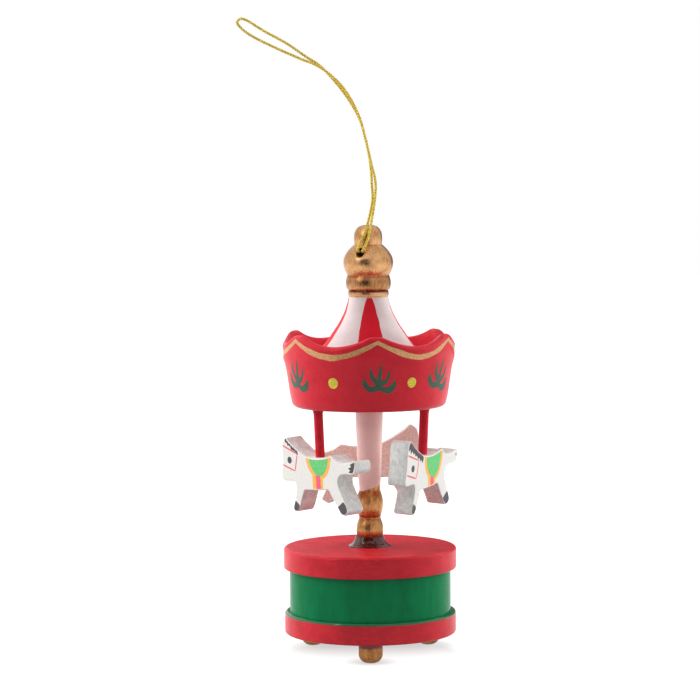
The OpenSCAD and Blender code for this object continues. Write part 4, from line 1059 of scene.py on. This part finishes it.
def makeHorse(which, h, v):
    bm = bmesh.new()
    addSlab(bm, roundedOutline(horseOutline), 0, v["thickness"], 0, 1, v["edgeRound"])
    keys = ["white", "edge"] + [key for key in inks if key != "white"]
    for ink, layer, outline in horsePrints(which, v):
        addSlab(bm, outline, 0.04, -v["ink"] * layer, keys.index(ink))
    mesh = bpy.data.meshes.new("horse" + which.title())
    # faces on the inner side, towards the post, get the rosier white: painted red bounce
    for face in bm.faces:
        if face.material_index == 0 and face.calc_center_median().z > (v["thickness"] - 0.2) * mm:
            face.material_index = keys.index("inner")
    bm.to_mesh(mesh)
    bm.free()
    for key in keys:
        mesh.materials.append(inkMaterials[key])
    mesh = finishMesh(mesh, 28)
    around = math.radians(h["pole"])
    pole = Vector((v["circle"] * math.cos(around), v["circle"] * math.sin(around), v["circleZ"]))
    onPole = (Matrix.Translation(pole * mm)
              @ Matrix.Rotation(around, 4, "Z") @ Matrix.Rotation(math.radians(v["tilt"]), 4, "Y")
              @ Matrix.Rotation(-around, 4, "Z")
              @ Matrix.Translation(Vector((0, 0, v["seatZ"] + h["lift"] - v["circleZ"])) * mm))
    facing = (Matrix.Rotation(math.radians(h["pole"] - 90 + h["yaw"]), 4, "Z")
              @ Matrix.Translation(Vector((h["slide"], v["thickness"] / 2, 0)) * mm)
              @ Matrix.Rotation(math.pi / 2, 4, "X") @ Matrix.Rotation(math.radians(h["pitch"]), 4, "Z"))
    mesh.transform(onPole @ facing)
    place("horse" + which.title(), mesh, "horse_paint", "horse_" + which)


for which, h in herd.items():
    makeHorse(which, h, horseValues)
print("stage: horses")


# finishes of the CAD pieces that are kept

keptFinishes = {"base_plate": plateLacquer, "drum_wall": drumEnamel, "turntable": lidLacquer,
                "foot_front": footPaint, "foot_right": footPaint, "foot_left": footPaint,
                "pole_left": poleDye, "pole_right": poleDye, "pole_rear": poleDye}
for name, node in nodes.items():
    slotName = node.material_slots[0].material.name.split(".")[0]
    finish = keptFinishes.get(name) or metalMaterials.get(slotName)
    if finish:
        node.material_slots[0].material = finish
print("stage: CAD finishes")


# floor, flags and lamps

# the floor's glow is lowered under the plate, behind litFront and inside litRim, and round the feet by
# footShade: a painted shadow
studio = {"floorSize": 6000, "floorGlow": 0.6, "litFront": (-18, 6), "litRim": (25, 33), "ambient": 0.4,
          "paper": "#8C8C8C", "bounce": 0.15, "aimZ": 90,
          "footShade": {"circle": 23.4, "angles": [-90, 30, 150], "reach": (2.5, 11)},
          # flags span from one x to the other, and from a low to a high edge of y and z
          "blackCloth": {"from": -1400, "to": 160, "low": (-1500, 2), "high": (-1500, 1000),
                         "grey": "#101010"},
          "greyMat": {"from": -900, "to": 160, "low": (-1500, 2), "high": (-400, 2), "grey": "#3C3C3C"},
          "greyCard": {"from": -60, "to": 840, "low": (800, 2), "high": (800, 620), "grey": "#6A6A6A"},
          # two soft boxes, and a slim strip lamp that alone shows in the gloss; places are x, y, z
          "lamps": [{"place": (-800, 240, 460), "power": 19, "size": (1300, 1300), "mirrored": False},
                    {"place": (-640, -520, 620), "power": 1.1, "size": (110, 600), "mirrored": True},
                    {"place": (840, 240, 170), "power": 20, "size": (1300, 1300), "mirrored": False}]}


def cameraGlow(add, otherwise):
    # 1 for camera, glossy and transmission rays, and less for the light that reaches surfaces
    path = add("LightPath")
    seen = add("Math ADD", [path["Is Camera Ray"], path["Is Glossy Ray"]])[0]
    every = add("Math ADD", [seen, path["Is Transmission Ray"]], use_clamp=True)[0]
    return add("MapRange", [every, 0.0, 1.0, otherwise, 1.0])[0]


def addFlag(name, grey, corners):
    flag = addObject(name, meshFrom(name, [Vector(p) * mm for p in corners], [(0, 1, 2, 3)]))
    felt = closeMaterial(startMaterial(name + "Wool")[0], {"Color": linearColour(grey)}, "BsdfDiffuse")
    flag.data.materials.append(felt)
    for rays in ("camera", "diffuse", "transmission", "shadow"):
        setattr(flag, "visible_" + rays, False)


def makeStage(v):
    world = bpy.data.worlds.new("whiteStudio")
    scene.world = world
    world.use_nodes = True
    world.node_tree.nodes.clear()
    add = partial(addNode, world.node_tree)
    sky = cameraGlow(add, v["ambient"])
    white = add("Background", {"Color": (1, 1, 1, 1), "Strength": sky})
    add("OutputWorld", {"Surface": white[0]})
    half = v["floorSize"] / 2 * mm
    corners = [(-half, -half, 0), (half, -half, 0), (half, half, 0), (-half, half, 0)]
    floor = addObject("studioFloor", meshFrom("studioFloor", corners, [(0, 1, 2, 3)]))
    material, add, spot = startMaterial("whiteSweepPaper")
    paper = add("BsdfDiffuse", {"Color": linearColour(v["paper"])})[0]
    # glows to pure white as if lit from below, except under the plate and round the feet, where the glow is
    # lowered into a painted shadow
    depth = add("SeparateXYZ", [spot])[1]
    front = add("MapRange", [depth, v["litFront"][0] * mm, v["litFront"][1] * mm, 1.0, 0.0])[0]
    far = add("VectorMath LENGTH", [spot])["Value"]
    rim = add("MapRange", [far, v["litRim"][0] * mm, v["litRim"][1] * mm, 0.0, 1.0])[0]
    lit = add("Math MAXIMUM", [front, rim])[0]
    f = v["footShade"]
    for degrees in f["angles"]:
        around = math.radians(degrees)
        foot = (f["circle"] * math.cos(around) * mm, f["circle"] * math.sin(around) * mm, 0)
        away = add("VectorMath DISTANCE", [spot, foot])["Value"]
        clear = add("MapRange", [away, f["reach"][0] * mm, f["reach"][1] * mm, 0.0, 1.0])[0]
        lit = add("Math MULTIPLY", [lit, clear])[0]
    glowing = add("MapRange", [lit, 0.0, 1.0, v["floorGlow"], 1.0])[0]
    share = cameraGlow(add, v["bounce"])
    seen = add("Math MULTIPLY", [glowing, share])[0]
    glow = add("Emission", {"Color": (1, 1, 1, 1), "Strength": seen})[0]
    both = add("AddShader", [paper, glow])[0]
    add("OutputMaterial", {"Surface": both})
    floor.data.materials.append(material)
    # black cloth and grey mat before the set and a grey card behind it, seen only in the object's gloss
    for name in ("blackCloth", "greyCard", "greyMat"):
        card = v[name]
        ways = (("from", "low"), ("to", "low"), ("to", "high"), ("from", "high"))
        addFlag(name, card["grey"], [(card[side], *card[edge]) for side, edge in ways])
    for values in v["lamps"]:
        lamp = bpy.data.lights.new("softBox", "AREA")
        lamp.shape, lamp.energy = "RECTANGLE", values["power"]
        lamp.size, lamp.size_y = values["size"][0] * mm, values["size"][1] * mm
        box = bpy.data.objects.new("softBox", lamp)
        scene.collection.objects.link(box)
        box.location = Vector(values["place"]) * mm
        box.visible_glossy = values["mirrored"]
        aim = Vector((0, 0, v["aimZ"] * mm)) - box.location
        box.rotation_euler = aim.to_track_quat("-Z", "Y").to_euler()


makeStage(studio)
scene.view_settings.view_transform = "Standard"
print("stage: studio")
